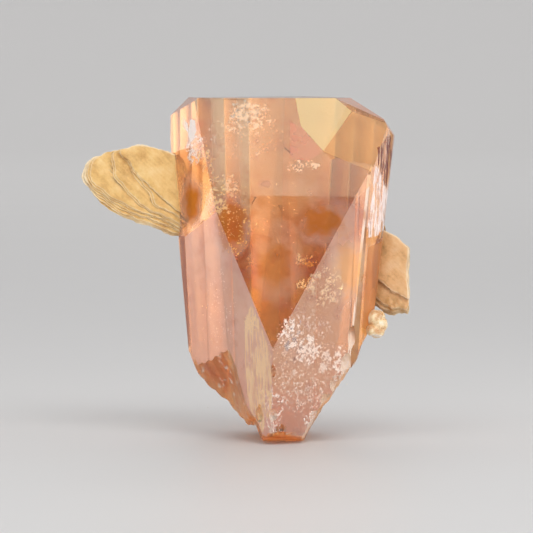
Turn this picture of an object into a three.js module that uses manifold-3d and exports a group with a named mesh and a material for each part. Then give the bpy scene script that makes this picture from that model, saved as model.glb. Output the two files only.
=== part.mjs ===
// A topaz crystal that stands on its cleavage foot, with two books of mica and a knob of albite
// grown into its sides. Millimetres, +Z up, the front of the crystal towards -Y.
// The origin lies on the flat foot, straight below the middle of the crystal.

import * as THREE from 'three';
import { mergeVertices } from 'three/addons/utils/BufferGeometryUtils.js';
import Module from 'manifold-3d';

const wasm = await Module();
wasm.setup();

// ---------------------------------------------------------------- driving dimensions

// Topaz: every face is given by its azimuth from the front axis, the tilt of its normal above
// the horizontal (degrees), and its reach from the centre of the crystal (mm).
const CRYSTAL_CENTRE_HEIGHT = 30;
const FRONT_AZIMUTH = -98;
const BROAD_PRISM = 43.4;
const NARROW_PRISM = 62.2;
const END_PINACOID = 90;
const BACK = 180;

const CRYSTAL_FACES = [
  { name: 'front dome', azimuth: 0, tilt: 21.8, reach: 11.8 },
  { name: 'top', azimuth: 0, tilt: 90, reach: 29.2 },
  { name: 'left broad prism', azimuth: -BROAD_PRISM, tilt: -2.4, reach: 12.95 },
  { name: 'right broad prism', azimuth: BROAD_PRISM, tilt: -3.2, reach: 14.55 },
  { name: 'left shoulder', azimuth: -47, tilt: 4.6, reach: 14.15 },
  { name: 'left narrow prism', azimuth: -NARROW_PRISM, tilt: -3, reach: 15.55 },
  { name: 'right narrow prism', azimuth: NARROW_PRISM, tilt: -4.7, reach: 15.75 },
  { name: 'right edge bevel', azimuth: 52.8, tilt: -3.95, reach: 15.31 },
  { name: 'left end', azimuth: -END_PINACOID, tilt: -6, reach: 17.65 },
  { name: 'right end', azimuth: END_PINACOID, tilt: -5.9, reach: 17.25 },
  { name: 'right roof', azimuth: 66.3, tilt: 65.6, reach: 30.45 },
  { name: 'left roof', azimuth: -72, tilt: 50.8, reach: 31.55 },
  { name: 'right back roof', azimuth: 118, tilt: 43.4, reach: 28.85 },
  { name: 'right corner', azimuth: END_PINACOID, tilt: 28.8, reach: 28.3 },
  { name: 'back left broad prism', azimuth: BACK + BROAD_PRISM, tilt: -3.5, reach: 16.6 },
  { name: 'back right broad prism', azimuth: BACK - BROAD_PRISM, tilt: -3.5, reach: 14.8 },
  { name: 'back left narrow prism', azimuth: BACK + NARROW_PRISM, tilt: -4, reach: 17.7 },
  { name: 'back right narrow prism', azimuth: BACK - NARROW_PRISM, tilt: -8, reach: 15.1 },
];
const CUTTER_SIZE = 140;

// Growth ledge high on the right of the front dome. Its floor hinges down from the dome along one
// straight edge, and its outline (along the hinge, away from the hinge) ends in a chipped step.
const LEDGE_HINGE = new THREE.Vector3(7.07, -5.76, 49.97);
const LEDGE_SLOPE = 4.2;
const LEDGE_HEIGHT = 6;
const LEDGE_OUTLINE = [
  [11.5, 0], [9, 0], [0, 0], [-0.1, 0.9], [-0.5, 2], [-0.1, 2.7], [0.4, 3.7], [0.35, 4.8],
  [0.8, 5.8], [0.9, 6.6], [1.3, 7.6], [1.5, 9.2], [1.9, 14], [14, 14],
];
const LEDGE_HINGE_AZIMUTH = 23.1;
const LEDGE_HINGE_DRIFT = 0.4;

// Vertical growth lines on the prism faces: how far across the face each lies from its middle. Each
// line leans by up to half of the lean (degrees) to either side.
const GROWTH_LINE_DEPTH = 0.08;
const GROWTH_LINE_WIDTH = 0.6;
const GROWTH_LINE_LEAN = 1.6;
const GROWTH_LINES = [
  { face: 'left broad prism', places: [-4.9, 2.6] },
  { face: 'right broad prism', places: [-2.7, 4.8, 5.7] },
  { face: 'back left broad prism', places: [-7, -1.8, 4.4] },
  { face: 'back right broad prism', places: [-6.2, -1.1, 3.9] },
];

// Broken root of the crystal. The keel is the lowest line of the break, seen from the front;
// in front of it and behind it the break climbs.
const KEEL_OUTLINE = [
  [-22, 22.5], [-16, 14.7], [-14.5, 11.1], [-12.2, 8.5], [-9.2, 6.1], [-7.5, 4.1], [-5.8, 2.4],
  [-4.3, 2.3], [-3.2, -0.6], [3.8, -0.6], [4.6, 1.1], [5.7, 2.8], [7.1, 5.4], [8.4, 6.8],
  [9.3, 8.3], [11.4, 11.3], [13.1, 13], [13.9, 16.2], [16, 20.4], [22, 32],
];
const KEEL_FRONT = -5;
const KEEL_BACK = 9.5;
const BACK_CLIMB = 0.95;
const FRONT_CLIMB = 0.22;
const BOWL_CLIMB = 0.95;
const BOWL_START = -4.2;
const BOWL_END = -9.5;
const RIPPLE_HEIGHT = 0.16;
const RIPPLE_LENGTH = 1.9;
const RIPPLE_CENTRE = [-17, 3];
const HACKLE_HEIGHT = 0.85;
const HACKLE_SIZE = 2.1;
const HACKLE_MEAN = 0.4;
const FINE_HACKLE_SHARE = 0.5;
const FINE_HACKLE_SHIFT = [31, 17];
const HACKLE_IN_BOWL = 0.3;
const SMOOTH_BELOW = -0.2;
const ROUGH_ABOVE = 2.5;
const BREAK_WIDTH = 44;
const BREAK_DEPTH = 52;
const BREAK_CELL = 1.3;
const BREAK_JITTER = 0.5;
const BREAK_RIM = 0.1;
const BREAK_BELOW = 12;

// Chips knocked out of the edges: centre and the three radii.
const CHIPS = [
  { at: [12.8, -8.7, 17.8], radii: [1.3, 1.1, 2.9] },
  { at: [11.4, -9, 13.3], radii: [1.3, 1.4, 2.1] },
  { at: [9.7, -9.9, 10], radii: [1.5, 1.4, 1.6] },
  { at: [7.9, -10.9, 7.1], radii: [1.3, 1.6, 1.5] },
  { at: [5.9, -12.1, 4.3], radii: [1.2, 1.4, 1.4] },
  { at: [-1.4, -18.2, 12.7], radii: [0.7, 1, 1.4] },
  { at: [-1.6, -17.6, 5.2], radii: [1.3, 1.4, 1.2] },
  { at: [-3.9, -14.6, 5.2], radii: [0.9, 1.2, 1.6] },
  { at: [15.6, -8.6, 46.4], radii: [0.7, 0.8, 0.6] },
];

// Natural etch pits where the top of the front dome and the left shoulder are frosted.
const PIT_DEPTH = 0.22;
const PIT_RADIUS = 0.55;
const PIT_STRETCH = 1.5;
const PIT_SIZES = [0.6, 1.4];
const PIT_FIELDS = [
  { face: 'front dome', across: [-12, -2], up: [22, 28.5], count: 16 },
  { face: 'left shoulder', across: [3, 8.5], up: [17, 26], count: 10 },
  { face: 'front dome', across: [3.5, 8], up: [-2.5, 3], count: 6 },
];
const PITS_IN_A_FIELD = 40;

// Mica books: stacks of thin sheets, front sheet first. Each sheet has the same outer arc, and its
// other edge lies between the full outline (spread 0) and the innermost ledge (spread 1). A sheet
// is given by its spread where that edge starts and where it ends.
const SOCKET_GAP = 0.3;
const LEFT_BOOK = {
  place: [-18.4, 4.3, 43],
  tilt: -17,
  turn: 14,
  thickness: 0.44,
  sheets: [[1, 1], [0.95, 0.75], [0.58, 0.5], [0.08, 0.36], [0.04, 0.22], [0, 0.08], [0.05, 0]],
  arc: [[3.4, -5.6], [3.2, 4.2], [-0.8, 6.5], [-3.5, 7.5], [-7.2, 8]],
  full: [
    [-12.9, 6.9], [-15.6, 5.6], [-16.6, 2.7], [-15.3, 0], [-12.9, -2.6], [-10, -4.4],
    [-4.6, -6.4], [0.6, -8.2],
  ],
  ledge: [
    [-10, 6.8], [-8.4, 4.6], [-7.3, 2.5], [-5.9, 1], [-4.4, -0.4], [-2.7, -2.2],
    [-0.7, -3.9], [1.6, -5.5],
  ],
};
const RIGHT_BOOK = {
  place: [18, 0.9, 29],
  tilt: -12,
  turn: -10,
  thickness: 0.4,
  sheets: [[1, 1], [0.94, 0.96], [0.16, 0.3], [0.08, 0.12], [0.03, 0.05], [0, 0]],
  arc: [[-4.2, 5.6], [-0.3, 8.4], [0.1, 7.1], [2.4, 6], [4.1, 4.4], [4.42, 4], [4.4, 0.2]],
  full: [[4.7, -5.7], [4.4, -7.5], [2.9, -7.5], [1.7, -7.9], [0, -7.4], [-1.4, -6.3], [-4.2, -4.6]],
  ledge: [[4.5, -5.2], [4.1, -5], [3, -4.4], [1.9, -3.9], [0.9, -3.2], [-0.8, -1.8], [-4.2, -0.4]],
};
const SPREAD_TURNS_FROM = 0.25;
const SPREAD_TURNS_TO = 0.8;
const SHEET_EDGE_WAVER = 0.16;
const SHEET_OVERLAP = 0.02;
const OUTLINE_STEPS = 34;

// Albite knob: a handful of blocky lumps low on the right edge of the crystal.
const ALBITE_LUMPS = [
  { at: [16.2, -3.7, 21], radius: 1.5 },
  { at: [17.1, -3.4, 19.9], radius: 1.5 },
  { at: [16.7, -3.6, 18.8], radius: 1.35 },
  { at: [15.7, -4.5, 19], radius: 1.05 },
  { at: [17, -2.7, 21.2], radius: 1.15 },
];
const ALBITE_ROUGHNESS = 0.2;
const CHIP_ROUGHNESS = 0.3;

// Seeds that keep the small irregularities of one feature apart from those of another.
const SEED = { line: 5, pitSize: 11, pitAcross: 21, pitUp: 31, breakAcross: 60, albite: 70 };

// ---------------------------------------------------------------- solids and numbers

const radians = THREE.MathUtils.degToRad;

/** A closed geometry as a solid that can be joined and cut. */
function solidFrom(geometry) {
  const bare = geometry.index ? geometry.clone() : mergeVertices(geometry.clone());
  bare.deleteAttribute('normal');
  bare.deleteAttribute('uv');
  const merged = mergeVertices(bare, 1e-4);
  return new wasm.Manifold(new wasm.Mesh({
    numProp: 3,
    vertProperties: new Float32Array(merged.attributes.position.array),
    triVerts: new Uint32Array(merged.index.array),
  }));
}

/** A solid's surface as a geometry. */
function geometryFrom(solid) {
  const mesh = solid.getMesh();
  const geometry = new THREE.BufferGeometry();
  geometry.setAttribute('position', new THREE.BufferAttribute(mesh.vertProperties, 3));
  geometry.setIndex(new THREE.BufferAttribute(mesh.triVerts, 1));
  geometry.computeVertexNormals();
  return geometry;
}

/** A repeatable number from 0 to 1 for two whole numbers. */
function scatter(i, j) {
  const wave = Math.sin(i * 127.1 + j * 311.7) * 43758.5453;
  return wave - Math.floor(wave);
}

/** Smooth noise from 0 to 1 over the plane. */
function softNoise(x, y) {
  const column = Math.floor(x);
  const row = Math.floor(y);
  const across = THREE.MathUtils.smoothstep(x - column, 0, 1);
  const along = THREE.MathUtils.smoothstep(y - row, 0, 1);
  const near = THREE.MathUtils.lerp(scatter(column, row), scatter(column + 1, row), across);
  const far = THREE.MathUtils.lerp(scatter(column, row + 1), scatter(column + 1, row + 1), across);
  return THREE.MathUtils.lerp(near, far, along);
}

/** The height of an outline, given as points with rising x, at one x. */
function heightOn(outline, x) {
  const last = outline.length - 1;
  const after = THREE.MathUtils.clamp(outline.findIndex((point) => point[0] > x), 1, last);
  const [x0, z0] = outline[after - 1];
  const [x1, z1] = outline[after];
  return THREE.MathUtils.mapLinear(x, x0, x1, z0, z1);
}

/** The crystal face of one name. */
function faceNamed(name) {
  return CRYSTAL_FACES.find((face) => face.name === name);
}

/** Turns and moves a geometry from a face's own frame (+X out of the face) onto the crystal. */
function placeOnFace(geometry, { azimuth, tilt, reach }) {
  geometry.translate(reach, 0, 0);
  geometry.rotateY(-radians(tilt));
  geometry.rotateZ(radians(FRONT_AZIMUTH + azimuth));
  return geometry.translate(0, 0, CRYSTAL_CENTRE_HEIGHT);
}

// ---------------------------------------------------------------- the topaz

/** Everything that lies outside one crystal face. */
function outsideFace(face) {
  const block = new THREE.BoxGeometry(CUTTER_SIZE, CUTTER_SIZE, CUTTER_SIZE);
  block.translate(CUTTER_SIZE / 2, 0, 0);
  return solidFrom(placeOnFace(block, face));
}

/** The whole crystal as its flat faces bound it, before anything broke. */
function grownCrystal() {
  const block = new THREE.BoxGeometry(CUTTER_SIZE / 2, CUTTER_SIZE / 2, CUTTER_SIZE / 2);
  block.translate(0, 0, CRYSTAL_CENTRE_HEIGHT);
  const cut = (crystal, face) => crystal.subtract(outsideFace(face));
  return CRYSTAL_FACES.reduce(cut, solidFrom(block));
}

/** The air over the growth ledge: a slab whose underside is the ledge's tilted floor. */
function ledgeCutter() {
  const outline = new THREE.Shape(LEDGE_OUTLINE.map(([along, away]) => new THREE.Vector2(away, along)));
  const slab = new THREE.ExtrudeGeometry(outline, { depth: LEDGE_HEIGHT, bevelEnabled: false });
  slab.rotateY(radians(LEDGE_SLOPE));
  slab.rotateZ(-radians(LEDGE_HINGE_AZIMUTH + LEDGE_SLOPE * LEDGE_HINGE_DRIFT));
  slab.rotateX(radians(90 - faceNamed('front dome').tilt));
  slab.rotateZ(radians(FRONT_AZIMUTH + 90));
  slab.translate(LEDGE_HINGE.x, LEDGE_HINGE.y, LEDGE_HINGE.z);
  return solidFrom(slab);
}

/** A long bar, square on edge, that scores one growth line down a prism face. */
function growthLineCutter(face, place, index) {
  const bar = new THREE.BoxGeometry(1, 1, CUTTER_SIZE / 2);
  bar.rotateZ(radians(45));
  const halfDiagonal = Math.SQRT1_2;
  bar.scale(GROWTH_LINE_DEPTH / halfDiagonal, GROWTH_LINE_WIDTH / 2 / halfDiagonal, 1);
  bar.rotateX(radians((scatter(index, SEED.line) - 0.5) * GROWTH_LINE_LEAN));
  bar.translate(0, place, 0);
  return solidFrom(placeOnFace(bar, face));
}

/** How far the break stands above the foot at one place. */
function breakHeight(x, y) {
  const inBowl = 1 - THREE.MathUtils.smoothstep(x, BOWL_END, BOWL_START);
  const climb = FRONT_CLIMB + BOWL_CLIMB * inBowl;
  const front = climb * Math.max(0, KEEL_FRONT * (1 - inBowl) - y);
  const back = BACK_CLIMB * Math.max(0, y - KEEL_BACK);
  const smooth = heightOn(KEEL_OUTLINE, x) + front + back;
  const out = Math.hypot(x - RIPPLE_CENTRE[0], y - RIPPLE_CENTRE[1]);
  const ripple = Math.sin(out * 2 * Math.PI / RIPPLE_LENGTH);
  const fine = softNoise(x + FINE_HACKLE_SHIFT[0], y + FINE_HACKLE_SHIFT[1]);
  const hackle = softNoise(x / HACKLE_SIZE, y / HACKLE_SIZE) + FINE_HACKLE_SHARE * fine - HACKLE_MEAN;
  const rough = THREE.MathUtils.smoothstep(smooth, SMOOTH_BELOW, ROUGH_ABOVE);
  const hackled = THREE.MathUtils.lerp(1, HACKLE_IN_BOWL, inBowl);
  return smooth + rough * (RIPPLE_HEIGHT * ripple * inBowl + HACKLE_HEIGHT * hackle * hackled);
}

/** Everything below the broken root: a slab whose top follows the break. */
function belowBreak() {
  const columns = Math.round(BREAK_WIDTH / BREAK_CELL);
  const rows = Math.round(BREAK_DEPTH / BREAK_CELL);
  const slab = new THREE.BoxGeometry(BREAK_WIDTH, BREAK_DEPTH, 1, columns, rows, 1);
  const places = slab.attributes.position;
  for (let i = 0; i < places.count; i += 1) {
    const [x, y, z] = [places.getX(i), places.getY(i), places.getZ(i)];
    const inside = Math.abs(x) < BREAK_WIDTH / 2 - BREAK_RIM && Math.abs(y) < BREAK_DEPTH / 2 - BREAK_RIM;
    const shake = inside && z > 0 ? BREAK_JITTER * BREAK_CELL : 0;
    const [column, row] = [Math.round(x / BREAK_CELL * 2), Math.round(y / BREAK_CELL * 2)];
    const movedX = x + shake * (scatter(column, row) - 0.5);
    const movedY = y + shake * (scatter(row + SEED.breakAcross, column) - 0.5);
    places.setXYZ(i, movedX, movedY, z > 0 ? breakHeight(movedX, movedY) : -BREAK_BELOW);
  }
  return solidFrom(slab);
}

/** Everything below the flat foot. */
function belowFoot() {
  const block = new THREE.BoxGeometry(CUTTER_SIZE, CUTTER_SIZE, CUTTER_SIZE);
  block.translate(0, 0, -CUTTER_SIZE / 2);
  return solidFrom(block);
}

/** A lump with flat facets, its corners shaken in or out by up to a share of its radius. */
function facetedLump(radius, share, seed) {
  const lump = mergeVertices(strippedIcosahedron());
  const places = lump.attributes.position;
  for (let i = 0; i < places.count; i += 1) {
    const grow = radius * (1 + share * (scatter(i, seed) - 0.5));
    places.setXYZ(i, places.getX(i) * grow, places.getY(i) * grow, places.getZ(i) * grow);
  }
  return lump;
}

/** A ball of 80 flat facets, only its corners kept. */
function strippedIcosahedron() {
  const ball = new THREE.IcosahedronGeometry(1, 1);
  ball.deleteAttribute('normal');
  ball.deleteAttribute('uv');
  return ball;
}

/** The scoop that one chip takes out of an edge. */
function chipCutter({ at, radii }, index) {
  const scoop = facetedLump(1, CHIP_ROUGHNESS, index);
  scoop.scale(...radii);
  scoop.translate(...at);
  return solidFrom(scoop);
}

/** A four-sided etch pit, sunk into a face. */
function pitCutter(field, index) {
  const pit = new THREE.OctahedronGeometry(1);
  const size = THREE.MathUtils.lerp(...PIT_SIZES, scatter(index, SEED.pitSize));
  pit.scale(PIT_DEPTH * size, PIT_RADIUS * size, PIT_RADIUS * size * PIT_STRETCH);
  const across = THREE.MathUtils.lerp(...field.across, scatter(index, SEED.pitAcross));
  const up = THREE.MathUtils.lerp(...field.up, scatter(index, SEED.pitUp));
  pit.translate(0, across, up);
  return solidFrom(placeOnFace(pit, faceNamed(field.face)));
}

/** Every cutter that shapes the grown crystal into the one that was found. */
function crystalCutters() {
  const lines = GROWTH_LINES.flatMap(({ face, places }) => (
    places.map((place, index) => growthLineCutter(faceNamed(face), place, index))));
  const pits = PIT_FIELDS.flatMap((field, row) => (
    Array.from({ length: field.count }, (_, index) => pitCutter(field, index + PITS_IN_A_FIELD * row))));
  return [...lines, ledgeCutter(), ...pits, belowBreak(), ...CHIPS.map(chipCutter), belowFoot()];
}

/** The topaz, with a socket for everything that grew into it. */
function topazCrystal(sockets) {
  const cut = (crystal, cutter) => crystal.subtract(cutter);
  return [...crystalCutters(), ...sockets].reduce(cut, grownCrystal());
}

// ---------------------------------------------------------------- mica and albite

/** The outline of one mica sheet, pushed out by a clearance all round. */
function sheetOutline(book, sheet, clearance, seed) {
  const edge = book.full.map(([x, y], i) => {
    const [ledgeX, ledgeY] = book.ledge[i];
    const along = THREE.MathUtils.smoothstep(i / (book.full.length - 1), SPREAD_TURNS_FROM, SPREAD_TURNS_TO);
    const spread = THREE.MathUtils.lerp(...sheet, along);
    return new THREE.Vector2(x, y).lerp(new THREE.Vector2(ledgeX, ledgeY), spread);
  });
  const corners = [...book.arc.map(([x, y]) => new THREE.Vector2(x, y)), ...edge];
  const round = new THREE.CatmullRomCurve3(
    corners.map((corner) => new THREE.Vector3(corner.x, corner.y, 0)), true, 'centripetal');
  const side = Math.sign(THREE.ShapeUtils.area(corners));
  const points = Array.from({ length: OUTLINE_STEPS }, (_, i) => {
    const place = round.getPoint(i / OUTLINE_STEPS);
    const along = round.getTangent(i / OUTLINE_STEPS);
    const waver = SHEET_EDGE_WAVER * (2 * scatter(i, seed) - 1);
    const outward = new THREE.Vector2(along.y, -along.x).multiplyScalar(side * (clearance + waver));
    return new THREE.Vector2(place.x, place.y).add(outward);
  });
  return new THREE.Shape(points);
}

/** A mica book: its sheets stacked face to face, then tilted and turned into place. */
function micaBook(book, clearance = 0) {
  const stack = book.sheets.map((sheet, i) => {
    const outline = sheetOutline(book, sheet, clearance, i);
    const depth = book.thickness + SHEET_OVERLAP + 2 * clearance;
    const slab = new THREE.ExtrudeGeometry(outline, { depth, bevelEnabled: false });
    slab.rotateX(radians(90));
    slab.translate(0, clearance + (i + 1 - book.sheets.length / 2) * book.thickness, 0);
    slab.rotateX(radians(book.tilt));
    slab.rotateZ(radians(book.turn));
    slab.translate(...book.place);
    return solidFrom(slab);
  });
  return stack.reduce((whole, slab) => whole.add(slab));
}

/** The albite knob: its lumps joined in one. */
function albiteKnob(clearance = 0) {
  const lumps = ALBITE_LUMPS.map(({ at, radius }, i) => (
    solidFrom(facetedLump(radius + clearance, ALBITE_ROUGHNESS, i + SEED.albite).translate(...at))));
  return lumps.reduce((whole, lump) => whole.add(lump));
}

// ---------------------------------------------------------------- the assembly

const FINISHES = {
  topaz: { color: 0xd79c74, roughness: 0.08, metalness: 0 },
  mica: { color: 0xcda466, roughness: 0.45, metalness: 0 },
  albite: { color: 0xe6d3b6, roughness: 0.6, metalness: 0 },
};

/** A named mesh of one solid in one finish. */
function namedMesh(name, solid, finish) {
  const mesh = new THREE.Mesh(geometryFrom(solid), new THREE.MeshStandardMaterial(FINISHES[finish]));
  mesh.name = name;
  return mesh;
}

const sockets = [
  micaBook(LEFT_BOOK, SOCKET_GAP),
  micaBook(RIGHT_BOOK, SOCKET_GAP),
  albiteKnob(SOCKET_GAP),
];

const specimen = new THREE.Group();
specimen.add(
  namedMesh('topaz_crystal', topazCrystal(sockets), 'topaz'),
  namedMesh('mica_book_left', micaBook(LEFT_BOOK), 'mica'),
  namedMesh('mica_book_right', micaBook(RIGHT_BOOK), 'mica'),
  namedMesh('albite_knob', albiteKnob(), 'albite'),
);

export default specimen;
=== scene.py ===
"""A peach topaz crystal with mica books and an albite knob, dressed for a plain studio.

The crystal is rebuilt in fine mesh from its flat growth faces, its broken root and its etched
places. The mica books are rebuilt sheet by sheet. Lengths in the classes are millimetres, as in
the part's own drawing, and every mesh is scaled to metres once, when it is finished.
"""

import logging
import math
import random
from dataclasses import dataclass, field
from enum import Enum
from typing import Callable, Sequence, Union

import bmesh
import bpy
from mathutils import Matrix, Vector, noise


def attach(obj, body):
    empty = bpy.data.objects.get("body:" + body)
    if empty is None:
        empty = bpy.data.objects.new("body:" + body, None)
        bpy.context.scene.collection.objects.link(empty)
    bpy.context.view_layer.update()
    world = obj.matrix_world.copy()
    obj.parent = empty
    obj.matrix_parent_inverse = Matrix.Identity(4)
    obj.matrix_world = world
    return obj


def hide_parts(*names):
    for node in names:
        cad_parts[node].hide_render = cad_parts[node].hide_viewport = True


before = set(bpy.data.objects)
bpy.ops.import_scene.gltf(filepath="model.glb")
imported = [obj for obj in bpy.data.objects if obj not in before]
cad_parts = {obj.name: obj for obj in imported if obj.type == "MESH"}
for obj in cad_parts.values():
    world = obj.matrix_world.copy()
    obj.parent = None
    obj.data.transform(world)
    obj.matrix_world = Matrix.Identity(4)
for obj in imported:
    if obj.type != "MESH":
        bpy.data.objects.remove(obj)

MM = 0.001
CRYSTAL_CENTRE = Vector((0.0, 0.0, 30.0))
FRONT_AZIMUTH = -98.0
BROAD_PRISM = 43.4
NARROW_PRISM = 62.2
END_PINACOID = 90.0
BACK = 180.0

log = logging.getLogger("topaz")

Point = tuple[float, float]
Place = tuple[float, float, float]
Colour = tuple[float, float, float]
Height = Callable[[float, float], float]


class Slot(Enum):
    """The material slots of the record that a piece can take its finish from."""

    TOPAZ = "topaz"
    MICA = "mica"
    ALBITE = "albite"


# ---------------------------------------------------------------- numbers


def scatter(i: float, j: float) -> float:
    """A repeatable number from 0 to 1 for two numbers."""
    wave = math.sin(i * 127.1 + j * 311.7) * 43758.5453
    return wave - math.floor(wave)


def mix(a: float, b: float, share: float) -> float:
    """The number that lies a share of the way from a to b."""
    return a + (b - a) * share


def smoothstep(value: float, low: float, high: float) -> float:
    """A smooth rise from 0 at low to 1 at high."""
    share = min(1.0, max(0.0, (value - low) / (high - low)))
    return share * share * (3.0 - 2.0 * share)


def soft_noise(x: float, y: float) -> float:
    """Smooth noise from 0 to 1 over the plane, the same as in the part's drawing."""
    column, row = math.floor(x), math.floor(y)
    across = smoothstep(x - column, 0.0, 1.0)
    near = mix(scatter(column, row), scatter(column + 1, row), across)
    far = mix(scatter(column, row + 1), scatter(column + 1, row + 1), across)
    return mix(near, far, smoothstep(y - row, 0.0, 1.0))


def height_on(outline: Sequence[Point], x: float) -> float:
    """The height of an outline, given as points with rising x, at one x."""
    after = next((i for i, point in enumerate(outline) if point[0] > x), len(outline) - 1)
    (x0, z0), (x1, z1) = outline[max(after, 1) - 1], outline[max(after, 1)]
    return z0 + (x - x0) * (z1 - z0) / (x1 - x0)


@dataclass(frozen=True)
class Grain:
    """Fractal noise: the size of its coarsest grains, how many finer octaves it has, and its seed."""

    size: float
    octaves: int
    seed: float = 0.0

    def at(self, x: float, y: float, more: float = 0.0) -> float:
        """The noise at one place of a plane, about -1 to 1, with more added to the seed."""
        place = Vector((x / self.size, y / self.size, self.seed + more))
        return noise.fractal(place, 1.0, 2.0, self.octaves)


# ---------------------------------------------------------------- mesh making


class Workshop:
    """Turns corner lists into objects, cuts and joins them, and finishes pieces."""

    @staticmethod
    def solid(name: str, corners: Sequence[Vector], faces: Sequence[Sequence[int]]) -> bpy.types.Object:
        """Make a linked object from corners and faces.

        Args:
            name: The object's name.
            corners: The corner positions.
            faces: The faces, as corner numbers.

        Returns:
            The new object.
        """
        mesh = bpy.data.meshes.new(name)
        mesh.from_pydata([tuple(corner) for corner in corners], [], faces)
        mesh.update()
        return Workshop.placed(name, mesh)

    @staticmethod
    def from_bmesh(name: str, shape: bmesh.types.BMesh) -> bpy.types.Object:
        """Make a linked object from a bmesh, which is freed.

        Args:
            name: The object's name.
            shape: The bmesh.

        Returns:
            The new object.
        """
        bmesh.ops.recalc_face_normals(shape, faces=shape.faces)
        mesh = bpy.data.meshes.new(name)
        shape.to_mesh(mesh)
        shape.free()
        return Workshop.placed(name, mesh)

    @staticmethod
    def placed(name: str, mesh: bpy.types.Mesh) -> bpy.types.Object:
        """Put a mesh in the scene as an object."""
        piece = bpy.data.objects.new(name, mesh)
        bpy.context.scene.collection.objects.link(piece)
        return piece

    @staticmethod
    def smooth(piece: bpy.types.Object, sharp_from: float) -> None:
        """Shade a piece smooth, but for edges sharper than an angle in degrees."""
        for facet in piece.data.polygons:
            facet.use_smooth = True
        piece.data.set_sharp_from_angle(angle=math.radians(sharp_from))

    @staticmethod
    def apply(piece: bpy.types.Object) -> None:
        """Replace an object's mesh by what its modifiers make of it."""
        graph = bpy.context.evaluated_depsgraph_get()
        made = bpy.data.meshes.new_from_object(piece.evaluated_get(graph))
        piece.modifiers.clear()
        old, piece.data = piece.data, made
        bpy.data.meshes.remove(old)

    @staticmethod
    def scrap(pieces: Sequence[bpy.types.Object]) -> None:
        """Remove helper objects with their meshes."""
        for piece in pieces:
            mesh = piece.data
            bpy.data.objects.remove(piece)
            bpy.data.meshes.remove(mesh)

    @classmethod
    def boolean(cls, piece: bpy.types.Object, others: Sequence[bpy.types.Object], operation: str) -> None:
        """Cut others out of a piece, or join them to it, and scrap the others.

        Args:
            piece: The object that is changed.
            others: The cutters, or the solids to join.
            operation: DIFFERENCE or UNION.
        """
        for other in others:
            step = piece.modifiers.new(operation.lower(), "BOOLEAN")
            step.operation = operation
            step.solver = "MANIFOLD"
            step.object = other
        cls.apply(piece)
        cls.scrap(others)

    @staticmethod
    def slab(
            name: str, low: Point, high: Point, cell: float, top: Height, far: float) -> bpy.types.Object:
        """Make a closed slab over a rectangle, with one side that follows a height.

        Args:
            name: The object's name.
            low: The rectangle's lowest corner.
            high: The rectangle's highest corner.
            cell: The size of a grid cell.
            top: The height of the shaped side at a place.
            far: The height of the flat side, below the shaped one.

        Returns:
            The new object.
        """
        columns = math.ceil((high[0] - low[0]) / cell)
        rows = math.ceil((high[1] - low[1]) / cell)
        corners: list[Vector] = []
        for row in range(rows + 1):
            y = mix(low[1], high[1], row / rows)
            for column in range(columns + 1):
                x = mix(low[0], high[0], column / columns)
                corners.append(Vector((x, y, top(x, y))))
        count = len(corners)
        corners += [Vector((corner.x, corner.y, far)) for corner in corners[:count]]
        faces: list[tuple[int, ...]] = []
        wide = columns + 1
        for row in range(rows):
            for column in range(columns):
                a = row * wide + column
                faces.append((a, a + 1, a + wide + 1, a + wide))
                faces.append((count + a, count + a + wide, count + a + wide + 1, count + a + 1))
        south = list(range(columns + 1))
        north = [rows * wide + i for i in range(columns + 1)]
        west = [row * wide for row in range(rows + 1)]
        east = [row * wide + columns for row in range(rows + 1)]
        for edge, turned in ((south, False), (north, True), (west, True), (east, False)):
            for a, b in zip(edge, edge[1:]):
                wall = (b, a, count + a, count + b)
                faces.append(tuple(reversed(wall)) if turned else wall)
        return Workshop.solid(name, corners, faces)

    @staticmethod
    def finish(piece: bpy.types.Object, slot: Slot, material: bpy.types.Material, *nodes: str) -> None:
        """Scale a piece to metres, dress it and fix it to the specimen.

        Args:
            piece: The finished object, still in millimetres.
            slot: The record's slot that its finish comes from; it is not used.
            material: Its material.
            nodes: The CAD nodes that it stands for.
        """
        piece.data.transform(Matrix.Scale(MM, 4))
        piece.data.materials.clear()
        piece.data.materials.append(material)
        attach(piece, "root")
        if nodes:
            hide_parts(*nodes)
        log.info("%s: %d faces", piece.name, len(piece.data.polygons))


# ---------------------------------------------------------------- shader making

Feed = Union["Signal", bpy.types.NodeSocket, float, Sequence[float]]


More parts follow.
